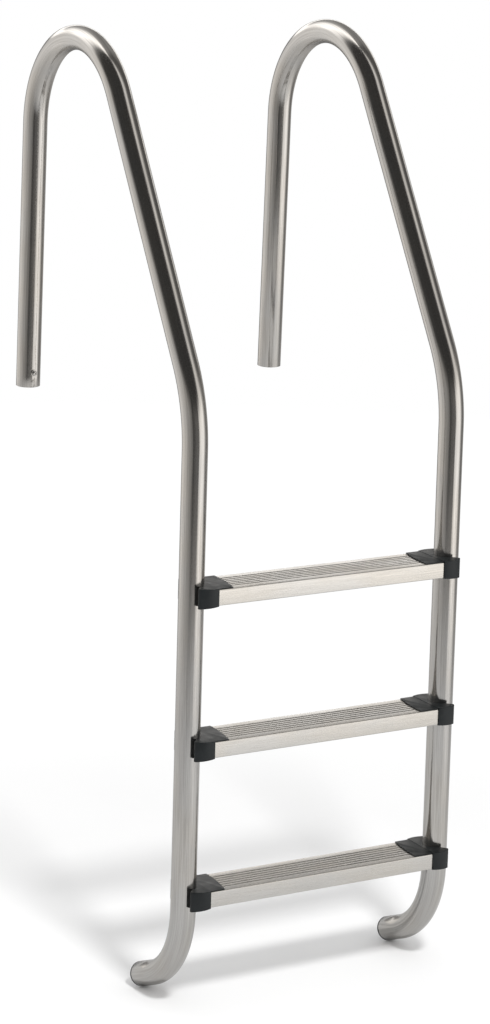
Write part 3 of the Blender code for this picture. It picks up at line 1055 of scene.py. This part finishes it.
@dataclass
class Tread:
    """A folded sheet tread: a grooved top, two flanges and a hem along each flange's foot.

    Args:
        step: Which tread it is.
        sheet: The sheet's thickness.
        fold: The outer radius of the folds.
        hem: How far each hem turns in.
        grooves: How many grooves the top has.
        pitch: Their spacing.
        width: A groove's width.
        depth: A groove's depth.
        curve: How many stretches a groove's curve has.
    """

    step: Step
    sheet: float = 0.0012
    fold: float = 0.0018
    hem: float = 0.0080
    grooves: int = 6
    pitch: float = 0.0092
    width: float = 0.0046
    depth: float = 0.0010
    curve: int = 8

    @property
    def node(self) -> str:
        """The tread's node."""
        return "tread_" + self.step.value

    def top_line(self, drop: float) -> list[tuple[float, float]]:
        """Lists the pressed top from front to back, one rounded dip for each groove.

        Args:
            drop: How far below the top the line runs.

        Returns:
            The (place across the tread, height) points.
        """
        points = []
        for index in range(self.grooves):
            centre = (index - (self.grooves - 1) / 2) * self.pitch
            for step in range(self.curve + 1):
                share = step / self.curve
                dip = self.depth * math.sin(math.pi * share) ** 0.7
                points.append((centre + (share - 0.5) * self.width, -dip - drop))
        return points

    def build(self, finishes: Finishes) -> bpy.types.Object:
        """Models the tread.

        Args:
            finishes: The ladder's finishes.

        Returns:
            The finished tread.
        """
        low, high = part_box(self.node)
        half, tall = (high.y - low.y) / 2, high.z - low.z
        middle = ((low.x + high.x) / 2, (low.y + high.y) / 2, high.z)
        side, foot, inner = half - self.fold, self.fold - tall, self.fold - self.sheet
        front = [(self.hem - half, -tall)] + Bench.arc((-side, foot), self.fold, 270, 180, 8)
        front += Bench.arc((-side, -self.fold), self.fold, 180, 90, 8)
        back = [(-y, z) for y, z in reversed(front)]
        inside = [(half - self.hem, self.sheet - tall)] + Bench.arc((side, foot), inner, -90, 0, 5)
        inside += Bench.arc((side, -self.fold), inner, 0, 90, 5)
        under = list(reversed(self.top_line(self.sheet)))
        far = [(-y, z) for y, z in reversed(inside)]
        outline = front + self.top_line(0.0) + back + inside + under + far
        piece = Bench.outline(self.node + "_sheet", outline, low.x - middle[0], high.x - middle[0])
        along = Matrix(((0, 0, 1), (1, 0, 0), (0, 1, 0))).to_4x4()
        piece.data.transform(Matrix.Translation(middle) @ along)
        Bench.smooth(piece, 28.0)
        self.remember_grooves(piece, middle[1], high.z)
        settle(piece, "tread_steel", finishes, self.node)
        return piece

    def remember_grooves(self, piece: bpy.types.Object, centre: float, top: float) -> None:
        """Stores how deep in a groove each point of the top lies, which sets the painted shade in the grooves.

        Args:
            piece: The finished tread.
            centre: The Y of the tread's middle.
            top: The height of its top.
        """
        points = np.array([vert.co for vert in piece.data.vertices], float)
        ribbed = np.abs(points[:, 1] - centre) < self.grooves * self.pitch / 2
        skin = points[:, 2] > top - (self.depth + self.sheet) / 2
        share = np.where(ribbed & skin, (top - points[:, 2]) / self.depth, 0.0)
        attribute = piece.data.attributes.new("groove_share", "FLOAT", "POINT")
        attribute.data.foreach_set("value", np.clip(share, 0.0, 1.0).astype(np.float32))


@dataclass
class EndCap:
    """A moulded end cap: a saddle block on the rail, a flap over the tread and an insert inside it.

    Its own frame has +X from the rail's axis towards the tread's middle, and z = 0 on the tread's top.

    Args:
        tube: The rail's outer radius.
        seam: Where the block ends and the tread starts.
        seam_top: The block's top at the seam.
        lip_top: Its top at the lips' ends.
        seam_bottom: Its foot at the seam.
        lip_bottom: Its foot at the lips' ends.
        lip_start: Where the lips leave the tube.
        lip_edge: How far the lips reach.
        lip_face: Half the lips' depth.
        corner: The radius of the lips' corners.
        flare: How far the lips flare from the tube, in degrees.
        lean_in: How far the front leans in at the lips, in degrees.
        face: Half the block's depth at the seam.
        bulge: How far its front bows out.
        flap_half: Half the flap's depth.
        flap_near: The flap's reach at the front.
        flap_far: Its reach at the back.
        flap_bow: How far its edge bows.
        tooth: The depth of the edge's teeth.
        tooth_pitch: Their spacing, the same as the grooves'.
        teeth: How many teeth there are.
        flap_points: How many stretches the edge has.
        flap_round: The bevel along the flap's edge.
        flap_top: The flap's top.
        round_over: The bevel of the block's edges.
        insert_end: How far the insert reaches in the tread.
        insert_wall: The insert's wall.
        insert_fit: Its clearance in the tread.
        insert_round: The bevel of its long edges.
        pocket_round: The bevel in its pocket.
        tread_half: Half the tread's depth.
        tread_height: The tread's height.
        sheet: The tread's sheet.
        groove: The depth of its grooves.
        clamp_end: The inner face of the wall that the bolt clamps.
        bolt_drop: How far the bolt sits below the tread's top.
        bolt_hole: The radius of the bolt's hole.
        bore_start: Where the hole's cutter starts.
        nut_flange: The radius of the recess for the rivet nut.
        nut_seat: Where that recess ends.
        overlap: How far joined parts run into each other, and cutters past a face.
    """

    tube: float = 0.0215
    seam: float = 0.0297
    seam_top: float = 0.0021
    lip_top: float = 0.0036
    seam_bottom: float = -0.0283
    lip_bottom: float = -0.0308
    lip_start: float = 0.0050
    lip_edge: float = -0.0054
    lip_face: float = 0.0387
    corner: float = 0.0045
    flare: float = 43.0
    lean_in: float = 28.0
    face: float = 0.0420
    bulge: float = 0.0015
    flap_half: float = 0.0395
    flap_near: float = 0.0570
    flap_far: float = 0.0650
    flap_bow: float = 0.0030
    tooth: float = 0.0016
    tooth_pitch: float = 0.0092
    teeth: int = 6
    flap_points: int = 72
    flap_round: float = 0.0004
    flap_top: float = 0.0017
    round_over: float = 0.0018
    insert_end: float = 0.0520
    insert_wall: float = 0.0030
    insert_fit: float = 0.0006
    insert_round: float = 0.0008
    pocket_round: float = 0.0020
    tread_half: float = 0.04025
    tread_height: float = 0.0275
    sheet: float = 0.0012
    groove: float = 0.0010
    clamp_end: float = 0.0315
    bolt_drop: float = 0.0145
    bolt_hole: float = 0.0046
    bore_start: float = 0.0100
    nut_flange: float = 0.0080
    nut_seat: float = 0.0234
    overlap: float = 0.0020

    def block(self) -> bpy.types.Object:
        """Models the saddle block: flared lips, convex faces, and a top and foot that spread.

        Returns:
            The block, in object mode.
        """
        saddle = self.tube + GAP
        reach = math.degrees(math.acos(self.lip_start / saddle))
        centre = (self.lip_edge + self.corner, self.lip_face - self.corner)
        lip = Bench.arc(centre, self.corner, 90 + self.lean_in, 180 + self.flare, 9)
        front = []
        for step in range(10):
            share = step / 10
            front.append((self.seam + (lip[0][0] - self.seam) * share,
                          self.face * (1 - share) * (1 - 2 * share) + lip[0][1] * share * (2 * share - 1)
                          + 4 * (self.face + self.bulge) * share * (1 - share)))
        front += lip
        outline = front + Bench.arc((0, 0), saddle, reach, -reach, 40) + [(x, -y) for x, y in reversed(front)]
        piece = Bench.outline("cap_block", outline, self.seam_bottom, self.seam_top)
        Bench.edit(piece)
        bm = bmesh.from_edit_mesh(piece.data)
        for vert in bm.verts:
            share = (self.seam - vert.co.x) / (self.seam - self.lip_edge)
            rise = self.lip_top - self.seam_top if vert.co.z > 0 else self.lip_bottom - self.seam_bottom
            vert.co.z += rise * share
        bmesh.update_edit_mesh(piece.data)
        clear = saddle + MERGE * 10
        Bench.pick_edges(piece, lambda middle, way, fold: fold > 1.0 and abs(way.z) < 0.6
                         and middle.xy.length > clear and middle.x < self.seam - MERGE)
        bpy.ops.mesh.bevel(offset=self.round_over, segments=5, profile=0.5, affect="EDGES",
                           clamp_overlap=True)
        return Bench.close(piece)

    def flap(self) -> bpy.types.Object:
        """Models the thin flap over the tread: a bowed inner edge with a small tooth over each groove.

        Returns:
            The flap, in object mode.
        """
        edge = []
        for step in range(self.flap_points + 1):
            across = step / (self.flap_points / 2) - 1
            reach = (self.flap_near + self.flap_far) / 2 + across * (self.flap_far - self.flap_near) / 2
            ribbed = abs(across * self.flap_half) < self.teeth / 2 * self.tooth_pitch
            wave = math.cos(math.tau * across * self.flap_half / self.tooth_pitch)
            tooth = -self.tooth * max(wave, 0.0) if ribbed else 0.0
            edge.append((reach + self.flap_bow * (1 - across ** 2) + tooth, across * self.flap_half))
        inside = self.seam - self.overlap
        outline = [(inside, -self.flap_half)] + edge + [(inside, self.flap_half)]
        piece = Bench.outline("cap_flap", outline, GAP, self.flap_top)
        Bench.edit(piece)
        Bench.pick_edges(piece, lambda middle, way, fold: fold > 1.0 and middle.z > self.flap_top - MERGE
                         and middle.x > inside + self.overlap / 2)
        bpy.ops.mesh.bevel(offset=self.flap_round, segments=2, affect="EDGES")
        return Bench.close(piece)

    def insert(self) -> bpy.types.Object:
        """Models the insert inside the tread's channel.

        Returns:
            The insert, in object mode.
        """
        half = self.tread_half - self.sheet - self.insert_fit
        low = self.sheet + self.insert_fit - self.tread_height
        high = -self.groove - self.sheet - GAP
        start = self.seam - self.overlap
        size = Vector((self.insert_end - start, 2 * half, high - low))
        Bench.clear_selection()
        bpy.ops.mesh.primitive_cube_add(size=1, scale=size, location=(
            (start + self.insert_end) / 2, 0, (low + high) / 2))
        piece = Bench.named("cap_insert")
        Bench.pick_edges(piece, lambda middle, way, fold: abs(way.x) > 0.9)
        bpy.ops.mesh.bevel(offset=self.insert_round, segments=3, affect="EDGES")
        return Bench.close(piece)

    def bore(self, name: str, radius: float, start: float, end: float) -> bpy.types.Object:
        """Makes a round cutter on the bolt's axis.

        Args:
            name: The cutter's name.
            radius: Its radius.
            start: Where it starts along X.
            end: Where it ends.

        Returns:
            The cutter, in object mode.
        """
        Bench.clear_selection()
        bpy.ops.mesh.primitive_cylinder_add(vertices=32, radius=radius, depth=end - start,
                                            rotation=(0, math.pi / 2, 0),
                                            location=((start + end) / 2, 0, -self.bolt_drop))
        piece = Bench.named(name)
        return Bench.close(piece)

    def pocket(self) -> bpy.types.Object:
        """Makes the cutter that hollows the insert from below.

        Returns:
            The cutter, in object mode.
        """
        half = self.tread_half - self.sheet - self.insert_fit - self.insert_wall
        high = -self.groove - self.sheet - GAP - self.insert_wall
        low = self.lip_bottom - self.overlap
        end = self.insert_end - self.insert_wall
        Bench.clear_selection()
        bpy.ops.mesh.primitive_cube_add(size=1, location=((self.clamp_end + end) / 2, 0, (low + high) / 2),
                                        scale=(end - self.clamp_end, 2 * half, high - low))
        piece = Bench.named("cap_pocket")
        Bench.pick_edges(piece, lambda middle, way, fold: abs(way.z) > 0.9)
        bpy.ops.mesh.bevel(offset=self.pocket_round, segments=4, affect="EDGES")
        return Bench.close(piece)

    def template(self) -> bpy.types.Object:
        """Joins and cuts the cap once, in its own frame.

        Returns:
            The template, in object mode.
        """
        piece = self.block()
        piece.name = "end_cap_template"
        Bench.cut(piece, self.insert(), "UNION")
        Bench.cut(piece, self.flap(), "UNION")
        Bench.cut(piece, self.pocket())
        Bench.cut(piece, self.bore("cap_bore", self.bolt_hole, self.bore_start,
                                   self.clamp_end + self.overlap))
        Bench.cut(piece, self.bore("cap_recess", self.nut_flange, self.bore_start, self.nut_seat))
        Bench.smooth(piece, 30.0)
        return piece


@dataclass
class CapSet:
    """All six end caps with the bolts, washers and rivet nuts that hold them to the rails.

    Args:
        upright: The Y of the rails' uprights.
        rails: The X of each rail.
        heights: The height of each tread's top.
        cap: The shape that all six caps share.
        bolt_radius: The bolt's radius.
        bolt_tip: Where the bolt ends, from the rail's axis.
        thread_pitch: The thread's pitch.
        thread_root: The thread's root as a share of the bolt's radius.
        hex_flats: The bolt head's width across flats.
        hex_height: Its height.
        washer_radius: The washer's radius.
        washer_bore: The radius of its hole.
        washer_thick: Its thickness.
        nut_start: Where the rivet nut starts, from the rail's axis.
        nut_bore: Its inner radius.
        nut_barrel: Its outer radius.
        nut_bulge: The radius of the bulge that grips the tube.
        nut_flange: The radius of its flange.
        nut_thick: The flange's thickness.
    """

    upright: float
    rails: dict[Side, float]
    heights: dict[Step, float]
    cap: EndCap = field(default_factory=EndCap)
    bolt_radius: float = 0.0040
    bolt_tip: float = 0.0105
    thread_pitch: float = 0.00125
    thread_root: float = 0.86
    hex_flats: float = 0.0130
    hex_height: float = 0.0053
    washer_radius: float = 0.0080
    washer_bore: float = 0.0044
    washer_thick: float = 0.0016
    nut_start: float = 0.0088
    nut_bore: float = 0.0043
    nut_barrel: float = 0.0055
    nut_bulge: float = 0.0068
    nut_flange: float = 0.0075
    nut_thick: float = 0.0012

    def place(self, side: Side, height: float) -> Matrix:
        """Returns the cap's frame at a rail, turned half round on the right."""
        turn = Matrix.Rotation(0.0 if side is Side.LEFT else math.pi, 4, "Z")
        return Matrix.Translation((self.rails[side], self.upright, height)) @ turn

    def bolt(self) -> bpy.types.Object:
        """Models a hexagon bolt with a chamfered head, along +X from the rail's axis.

        Returns:
            The bolt, in object mode.
        """
        seat = self.cap.clamp_end + self.washer_thick + 2 * GAP
        top = seat + self.hex_height
        corner = self.hex_flats / math.sqrt(3)
        head = [(0.0, seat), (self.hex_flats / 2, seat), (corner * 1.02, seat + 0.0006),
                (corner * 1.02, top - 0.0012), (self.hex_flats / 2 * 0.94, top), (0.0, top)]
        piece = turned_piece("tread_bolt_template", head, 48)
        Bench.clear_selection()
        bpy.ops.mesh.primitive_cylinder_add(vertices=6, radius=corner, depth=self.hex_height * 3,
                                            location=(0, 0, (seat + top) / 2))
        Bench.cut(piece, bpy.context.object, "INTERSECT")
        pitch, end = self.thread_pitch, seat - self.cap.overlap
        thread = [(0.0, self.bolt_tip), (self.bolt_radius * 0.8, self.bolt_tip)]
        along = self.bolt_tip + 0.0008
        while along < end - pitch:
            thread += [(self.bolt_radius, along), (self.bolt_radius * self.thread_root, along + pitch / 2)]
            along += pitch
        shank = turned_piece("tread_bolt_shank", thread + [
            (self.bolt_radius, along), (self.bolt_radius, seat + 0.001), (0.0, seat + 0.001)], 24)
        Bench.cut(piece, shank, "UNION")
        return self.laid_along_x(piece)

    def washer(self) -> bpy.types.Object:
        """Models a flat washer with stamped, rounded edges.

        Returns:
            The washer, in object mode.
        """
        low, high = self.cap.clamp_end + GAP, self.cap.clamp_end + GAP + self.washer_thick
        soft = 0.0003
        outline = [(self.washer_bore, low), (self.washer_radius - soft, low),
                   (self.washer_radius, low + soft), (self.washer_radius, high - soft),
                   (self.washer_radius - soft, high), (self.washer_bore, high)]
        return self.laid_along_x(turned_piece("tread_washer_template", outline, 40, ring=True))

    def rivet_nut(self) -> bpy.types.Object:
        """Models a set rivet nut: its flange, its bulge behind the tube's wall and its barrel.

        Returns:
            The nut, in object mode.
        """
        seat = self.cap.tube + GAP
        face = seat + self.nut_thick
        outline = [(self.nut_bore, face), (self.nut_flange - 0.0003, face), (self.nut_flange, face - 0.0003),
                   (self.nut_flange, seat), (self.nut_barrel, seat), (self.nut_barrel, 0.0190),
                   (self.nut_bulge * 0.97, 0.0183), (self.nut_bulge, 0.0172), (self.nut_bulge * 0.97, 0.0160),
                   (self.nut_barrel, 0.0153), (self.nut_barrel, self.nut_start + 0.0004),
                   (self.nut_barrel - 0.0004, self.nut_start), (self.nut_bore, self.nut_start)]
        return self.laid_along_x(turned_piece("rivet_nut_template", outline, 32, ring=True))

    def laid_along_x(self, piece: bpy.types.Object) -> bpy.types.Object:
        """Turns a piece made along Z so that it runs along X, at the bolt's height.

        Args:
            piece: The piece.

        Returns:
            The same piece.
        """
        piece.data.transform(Matrix.Translation((0, 0, -self.cap.bolt_drop)) @ Matrix.Rotation(
            math.pi / 2, 4, "Y"))
        Bench.smooth(piece, 35.0)
        return piece

    def build(self, finishes: Finishes) -> None:
        """Models each template once and places its copies.

        Args:
            finishes: The ladder's finishes.
        """
        kinds = (("end_cap", "moulding", "cap_plastic", self.cap.template()),
                 ("tread_bolt", "hexagon", "fastener_steel", self.bolt()),
                 ("tread_washer", "ring", "fastener_steel", self.washer()),
                 ("rivet_nut", "insert", "fastener_steel", self.rivet_nut()))
        for kind, form, slot, template in kinds:
            for step, height in self.heights.items():
                for side in Side:
                    node = f"{kind}_{step.value}_{side.word}"
                    piece = Bench.placed_copy(template, f"{node}_{form}", self.place(side, height))
                    settle(piece, slot, finishes, node)
            bpy.data.objects.remove(template, do_unlink=True)


@dataclass
class BondingPoint:
    """The bonding screw on the left leg, with its washer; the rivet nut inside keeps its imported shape.

    Args:
        x: The left rail's place across the ladder.
        line: The rail's centreline.
        height: The screw's height above the leg's end, along the leg.
        seat: The head's underside, from the leg's axis.
        washer_radius: The washer's radius.
        washer_bore: The radius of its hole.
        washer_thick: Its thickness.
        shank: The shank's radius.
        tip: Where the shank ends, from the leg's axis.
        head: The head's radius.
        head_height: The head's height.
        head_rim: The height at which the head's rounding starts.
        head_flat: The flat top's radius as a share of the head's.
        socket_flats: The width of the hexagon socket, across flats.
        socket_depth: Its depth.
    """

    x: float
    line: RailLine
    height: float = 0.0265
    seat: float = 0.0242
    washer_radius: float = 0.0058
    washer_bore: float = 0.0028
    washer_thick: float = 0.0010
    shank: float = 0.0025
    tip: float = 0.0125
    head: float = 0.0044
    head_height: float = 0.0030
    head_rim: float = 0.0010
    head_flat: float = 0.52
    socket_flats: float = 0.0030
    socket_depth: float = 0.0016

    def place(self) -> Matrix:
        """Returns the screw's frame: +Z out of the leg on the water side."""
        point = Vector((self.x, 0, 0)) + heading(self.line.splay) * self.height
        outward = heading(self.line.splay + math.pi / 2)
        return Matrix.Translation(point) @ outward.to_track_quat("Z", "Y").to_matrix().to_4x4()

    def build(self, finishes: Finishes) -> None:
        """Models the screw and the washer.

        Args:
            finishes: The ladder's finishes.
        """
        top = self.seat + self.head_height
        rim = self.head_rim
        dome = [(self.head * math.cos(turn), self.seat + rim + (self.head_height - rim) * math.sin(turn))
                for turn in (math.radians(9 * step) for step in range(7))]
        outline = [(0.0, self.tip), (self.shank, self.tip), (self.shank, self.seat), (self.head, self.seat)]
        outline += dome + [(self.head * self.head_flat, top), (0.0, top)]
        screw = turned_piece("bonding_screw_button", outline, 40)
        Bench.clear_selection()
        bpy.ops.mesh.primitive_cylinder_add(vertices=6, radius=self.socket_flats / math.sqrt(3),
                                            depth=2 * self.socket_depth, location=(0, 0, top))
        Bench.cut(screw, bpy.context.object)
        low = self.seat - GAP - self.washer_thick
        soft = 0.0002
        ring = [(self.washer_bore, low), (self.washer_radius, low),
                (self.washer_radius, self.seat - GAP - soft), (self.washer_radius - soft, self.seat - GAP),
                (self.washer_bore, self.seat - GAP)]
        washer = turned_piece("bonding_washer_ring", ring, 40, ring=True)
        for piece, node in ((screw, "bonding_screw"), (washer, "bonding_washer")):
            piece.data.transform(self.place())
            Bench.smooth(piece, 35.0)
            settle(piece, "fastener_steel", finishes, node)
        finishes.dress(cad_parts["bonding_rivet_nut"], "fastener_steel")


# --- studio -------------------------------------------------------------------------------------------


@dataclass(frozen=True)
class Studio:
    """A white sweep with soft boxes at both sides and a dark front, as metal is lit for a catalogue.

    Angles run round the ladder from the camera's side, positive to the camera's right, in degrees.

    Args:
        floor_radius: The floor's radius.
        floor_seen: How pale the floor is to the eye.
        floor_mirrored: How pale it is in the metal and as a bounce.
        feet: Where the hooks stand.
        mirror_fade: The distances from the feet over which the floor leaves the metal's reflections.
        white_fade: The distances from the feet over which the floor turns pure white to the eye.
        ambient: The brightness of the light from all round.
        key_power: The key light's power in watts.
        key_size: Its width.
        key_place: Where it hangs.
        glow: The brightness of the low light behind the ladder.
        glow_fall: The heights of direction over which that light fades.
        tint: The studio's warmth.
        level_ring: The brightness round the ladder at eye level.
        upper_ring: The same above it.
        lens: The lens in millimetres.
        shift: The camera's vertical shift.
        eye: Where the camera stands.
        yaw: Its turn round Z in radians.
        pitch: Its tilt down in radians.
        roll: Its roll in radians.
    """

    floor_radius: float = 4.6
    floor_seen: float = 0.98
    floor_mirrored: float = 0.62
    feet: tuple[float, float] = (0.0, -0.53)
    mirror_fade: tuple[float, float] = (0.30, 4.00)
    white_fade: tuple[float, float] = (0.75, 1.50)
    ambient: float = 0.76
    key_power: float = 95.0
    key_size: float = 0.6
    key_place: tuple[float, float, float] = (-0.48, -3.2, 2.7)
    glow: float = 1.50
    glow_fall: tuple[float, float] = (0.243, 0.318)
    tint: tuple[float, float, float, float] = (1.0, 0.975, 0.945, 1.0)
    level_ring: tuple[tuple[float, float], ...] = (
        (-180, 0.20), (-153, 0.22), (-141, 0.84), (-118, 0.95), (-100, 0.78), (-80, 0.65), (-60, 0.48),
        (-40, 0.34), (-19, 0.21), (-13, 0.07), (-3, 0.08), (8, 0.13), (24, 0.16), (38, 0.16), (45, 1.05),
        (60, 1.32), (88, 1.32), (99, 0.62), (110, 0.26), (130, 0.20), (145, 0.42), (166, 0.42), (180, 0.25))
    upper_ring: tuple[tuple[float, float], ...] = (
        (-180, 0.30), (-158, 0.50), (-142, 1.60), (-122, 2.10), (-107, 1.30), (-97, 0.25), (-86, 0.05),
        (36, 0.04), (55, 0.08), (63, 0.78), (80, 0.90), (92, 0.30), (102, 0.12), (130, 0.10), (150, 0.30),
        (180, 0.30))
    lens: float = 115.84
    shift: float = -0.207
    eye: tuple[float, float, float] = (-2.8191, -5.2047, 1.1808)
    yaw: float = 0.52484
    pitch: float = 0.17348
    roll: float = 0.02835

    def axes(self) -> tuple[Vector, Vector, Vector]:
        """Works out how the camera is turned.

        Returns:
            Its right, up and forward directions.
        """
        forward = Vector((math.sin(self.yaw) * math.cos(self.pitch),
                          math.cos(self.yaw) * math.cos(self.pitch), -math.sin(self.pitch)))
        level = forward.cross(Vector((0, 0, 1))).normalized()
        upright = level.cross(forward)
        right = level * math.cos(self.roll) + upright * math.sin(self.roll)
        return right, upright * math.cos(self.roll) - level * math.sin(self.roll), forward

    def camera(self) -> None:
        """Places the camera."""
        data = bpy.data.cameras.new("camera")
        data.lens, data.sensor_width, data.shift_y = self.lens, 36.0, self.shift
        data.clip_start, data.clip_end = 0.1, 100.0
        eye = bpy.data.objects.new("camera", data)
        right, up, forward = self.axes()
        eye.matrix_world = Matrix.Translation(self.eye) @ Matrix((right, up, -forward)).transposed().to_4x4()
        bpy.context.scene.collection.objects.link(eye)
        bpy.context.scene.camera = eye

    def key(self) -> None:
        """Adds the soft key light, which draws the ladder's shadow but no highlight of its own."""
        data = bpy.data.lights.new("key", "AREA")
        data.shape, data.size, data.energy = "DISK", self.key_size, self.key_power
        key = bpy.data.objects.new("key", data)
        key.location = self.key_place
        key.rotation_mode = "QUATERNION"
        aim = Vector((*self.feet, CAD_BOX[0].z)) - Vector(self.key_place)
        key.rotation_quaternion = aim.to_track_quat("-Z", "Y")
        key.visible_glossy = False
        bpy.context.scene.collection.objects.link(key)

    def ring(self, nodes: Nodes, angle: bpy.types.NodeSocket,
             stops: tuple[tuple[float, float], ...]) -> bpy.types.NodeSocket:
        """Adds a ramp of brightness round the ladder.

        Args:
            nodes: The world's node adder.
            angle: The angle as a share of a full turn, 0.5 at the camera.
            stops: The angle in degrees and the brightness of each stop.

        Returns:
            The brightness.
        """
        ramp = nodes.add("ValToRGB", {0: angle})
        ramp.color_ramp.elements[0].position = 0.0
        ramp.color_ramp.elements[1].position = 1.0
        peak = max(value for _, value in stops)
        for index, (degrees, value) in enumerate(stops):
            place = degrees / 360 + 0.5
            if index == 0:
                stop = ramp.color_ramp.elements[0]
            elif index == len(stops) - 1:
                stop = ramp.color_ramp.elements[len(ramp.color_ramp.elements) - 1]
            else:
                stop = ramp.color_ramp.elements.new(place)
            stop.color = (value / peak, value / peak, value / peak, 1.0)
        return nodes.math("MULTIPLY", ramp.outputs[0], peak)

    def world(self) -> None:
        """Builds the surroundings: white behind the ladder, soft boxes and flags in its reflections."""
        world = bpy.data.worlds.new("studio")
        bpy.context.scene.world = world
        world.use_nodes = True
        nodes = Nodes(world.node_tree)
        way = nodes.add("TexCoord").outputs["Generated"]
        right = Vector((math.cos(self.yaw), -math.sin(self.yaw), 0.0))
        toward = Vector((-math.sin(self.yaw), -math.cos(self.yaw), 0.0))
        across = nodes.add("VectorMath", {0: way, 1: right}, operation="DOT_PRODUCT").outputs["Value"]
        facing = nodes.add("VectorMath", {0: way, 1: toward}, operation="DOT_PRODUCT").outputs["Value"]
        turn = nodes.math("ADD", nodes.math("DIVIDE", nodes.math("ARCTAN2", across, facing), math.tau), 0.5)
        lift = nodes.add("SeparateXYZ", {0: way}).outputs["Z"]
        level = self.ring(nodes, turn, self.level_ring)
        upper = self.ring(nodes, turn, self.upper_ring)
        rise = nodes.remap(lift, 0.10, 0.42, 0.0, 1.0)
        sides = nodes.math("ADD", nodes.math("MULTIPLY", level, nodes.math("SUBTRACT", 1.0, rise)),
                           nodes.math("MULTIPLY", upper, rise))
        behind = nodes.remap(facing, -0.60, -0.90, 0.0, self.glow)
        layer = nodes.math("MULTIPLY", nodes.remap(lift, 0.10, 0.16, 0.0, 1.0),
                           nodes.remap(lift, *self.glow_fall, 1.0, 0.0))
        bands = nodes.math("ADD", sides, nodes.math("MULTIPLY", behind, layer))
        grey = nodes.add("CombineColor", {0: bands, 1: bands, 2: bands}).outputs[0]
        studio = nodes.mix(1.0, grey, self.tint, "MULTIPLY")
        path = nodes.add("LightPath")
        plain = (self.ambient, self.ambient, self.ambient, 1.0)
        lit = nodes.mix(path.outputs["Is Glossy Ray"], plain, studio)
        seen = nodes.mix(path.outputs["Is Camera Ray"], lit, (1.0, 1.0, 1.0, 1.0))
        world.node_tree.links.new(seen, world.node_tree.nodes["Background"].inputs["Color"])

    def floor(self) -> None:
        """Adds the pale floor under the hooks, brighter to the eye than in the metal's reflections."""
        low, _ = CAD_BOX
        Bench.clear_selection()
        bpy.ops.mesh.primitive_circle_add(vertices=96, radius=self.floor_radius, fill_type="NGON",
                                          location=(0, -0.3, low.z - GAP))
        sweep = bpy.context.object
        sweep.name = "studio_floor"
        bpy.ops.object.transform_apply(location=True)
        made = bpy.data.materials.new("studio_floor")
        made.use_nodes = True
        nodes = Nodes(made.node_tree)
        place = nodes.add("TexCoord").outputs["Object"]
        patch = nodes.remap(nodes.noise(place, 3.0, 4.0, 0.5), 0.3, 0.7, 0.985, 1.0)
        path = nodes.add("LightPath")
        share = nodes.math("ADD", nodes.math("MULTIPLY", path.outputs["Is Camera Ray"],
                                             self.floor_seen - self.floor_mirrored), self.floor_mirrored)
        value = nodes.math("MULTIPLY", share, patch)
        colour = nodes.add("CombineColor", {0: value, 1: value, 2: value}).outputs[0]
        away = nodes.add("VectorMath", {0: place, 1: (*self.feet, CAD_BOX[0].z)}, operation="DISTANCE")
        far = nodes.remap(away.outputs["Value"], *self.white_fade, 0.0, 1.0)
        gone = nodes.remap(away.outputs["Value"], *self.mirror_fade, 0.0, 1.0)
        matt = nodes.add("BsdfDiffuse", {"Color": colour})
        white = nodes.add("MixShader", {
            0: nodes.math("MULTIPLY", far, path.outputs["Is Camera Ray"]), 1: matt.outputs[0],
            2: nodes.add("Emission", {"Color": (1.0, 1.0, 1.0, 1.0), "Strength": 1.02}).outputs[0]})
        shader = nodes.add("MixShader", {
            0: nodes.math("MULTIPLY", gone, path.outputs["Is Glossy Ray"]), 1: white.outputs[0],
            2: nodes.add("BsdfTransparent").outputs[0]})
        output = made.node_tree.nodes["Material Output"]
        made.node_tree.links.new(shader.outputs[0], output.inputs["Surface"])
        sweep.data.materials.append(made)
        sweep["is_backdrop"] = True

    def build(self) -> None:
        """Builds the whole studio."""
        bpy.context.scene.view_settings.view_transform = "Standard"
        self.camera()
        self.key()
        self.world()
        self.floor()


def main() -> None:
    """Builds the studio and every sub-assembly in order."""
    logging.basicConfig(level=logging.INFO, format="%(name)s: %(message)s")
    Studio().build()
    finishes = Finishes()
    line = RailLine()
    heights = {step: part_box("tread_" + step.value)[1].z for step in Step}
    rails = {}
    for side in Side:
        rail = Rail(side, line, list(heights.values()))
        rail.build(finishes)
        HookPlug(side, line, rail.x).build(finishes)
        rails[side] = rail.x
    for step in Step:
        Tread(step).build(finishes)
    low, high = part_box("tread_top")
    CapSet((low.y + high.y) / 2, rails, heights).build(finishes)
    BondingPoint(rails[Side.LEFT], line).build(finishes)
    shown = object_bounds()
    for label, box in (("packed", CAD_BOX), ("shown", shown)):
        low_end, high_end = (tuple(round(v, 5) for v in corner) for corner in box)
        log.info("%s box: %s to %s", label, low_end, high_end)


if __name__ == "__main__":
    main()
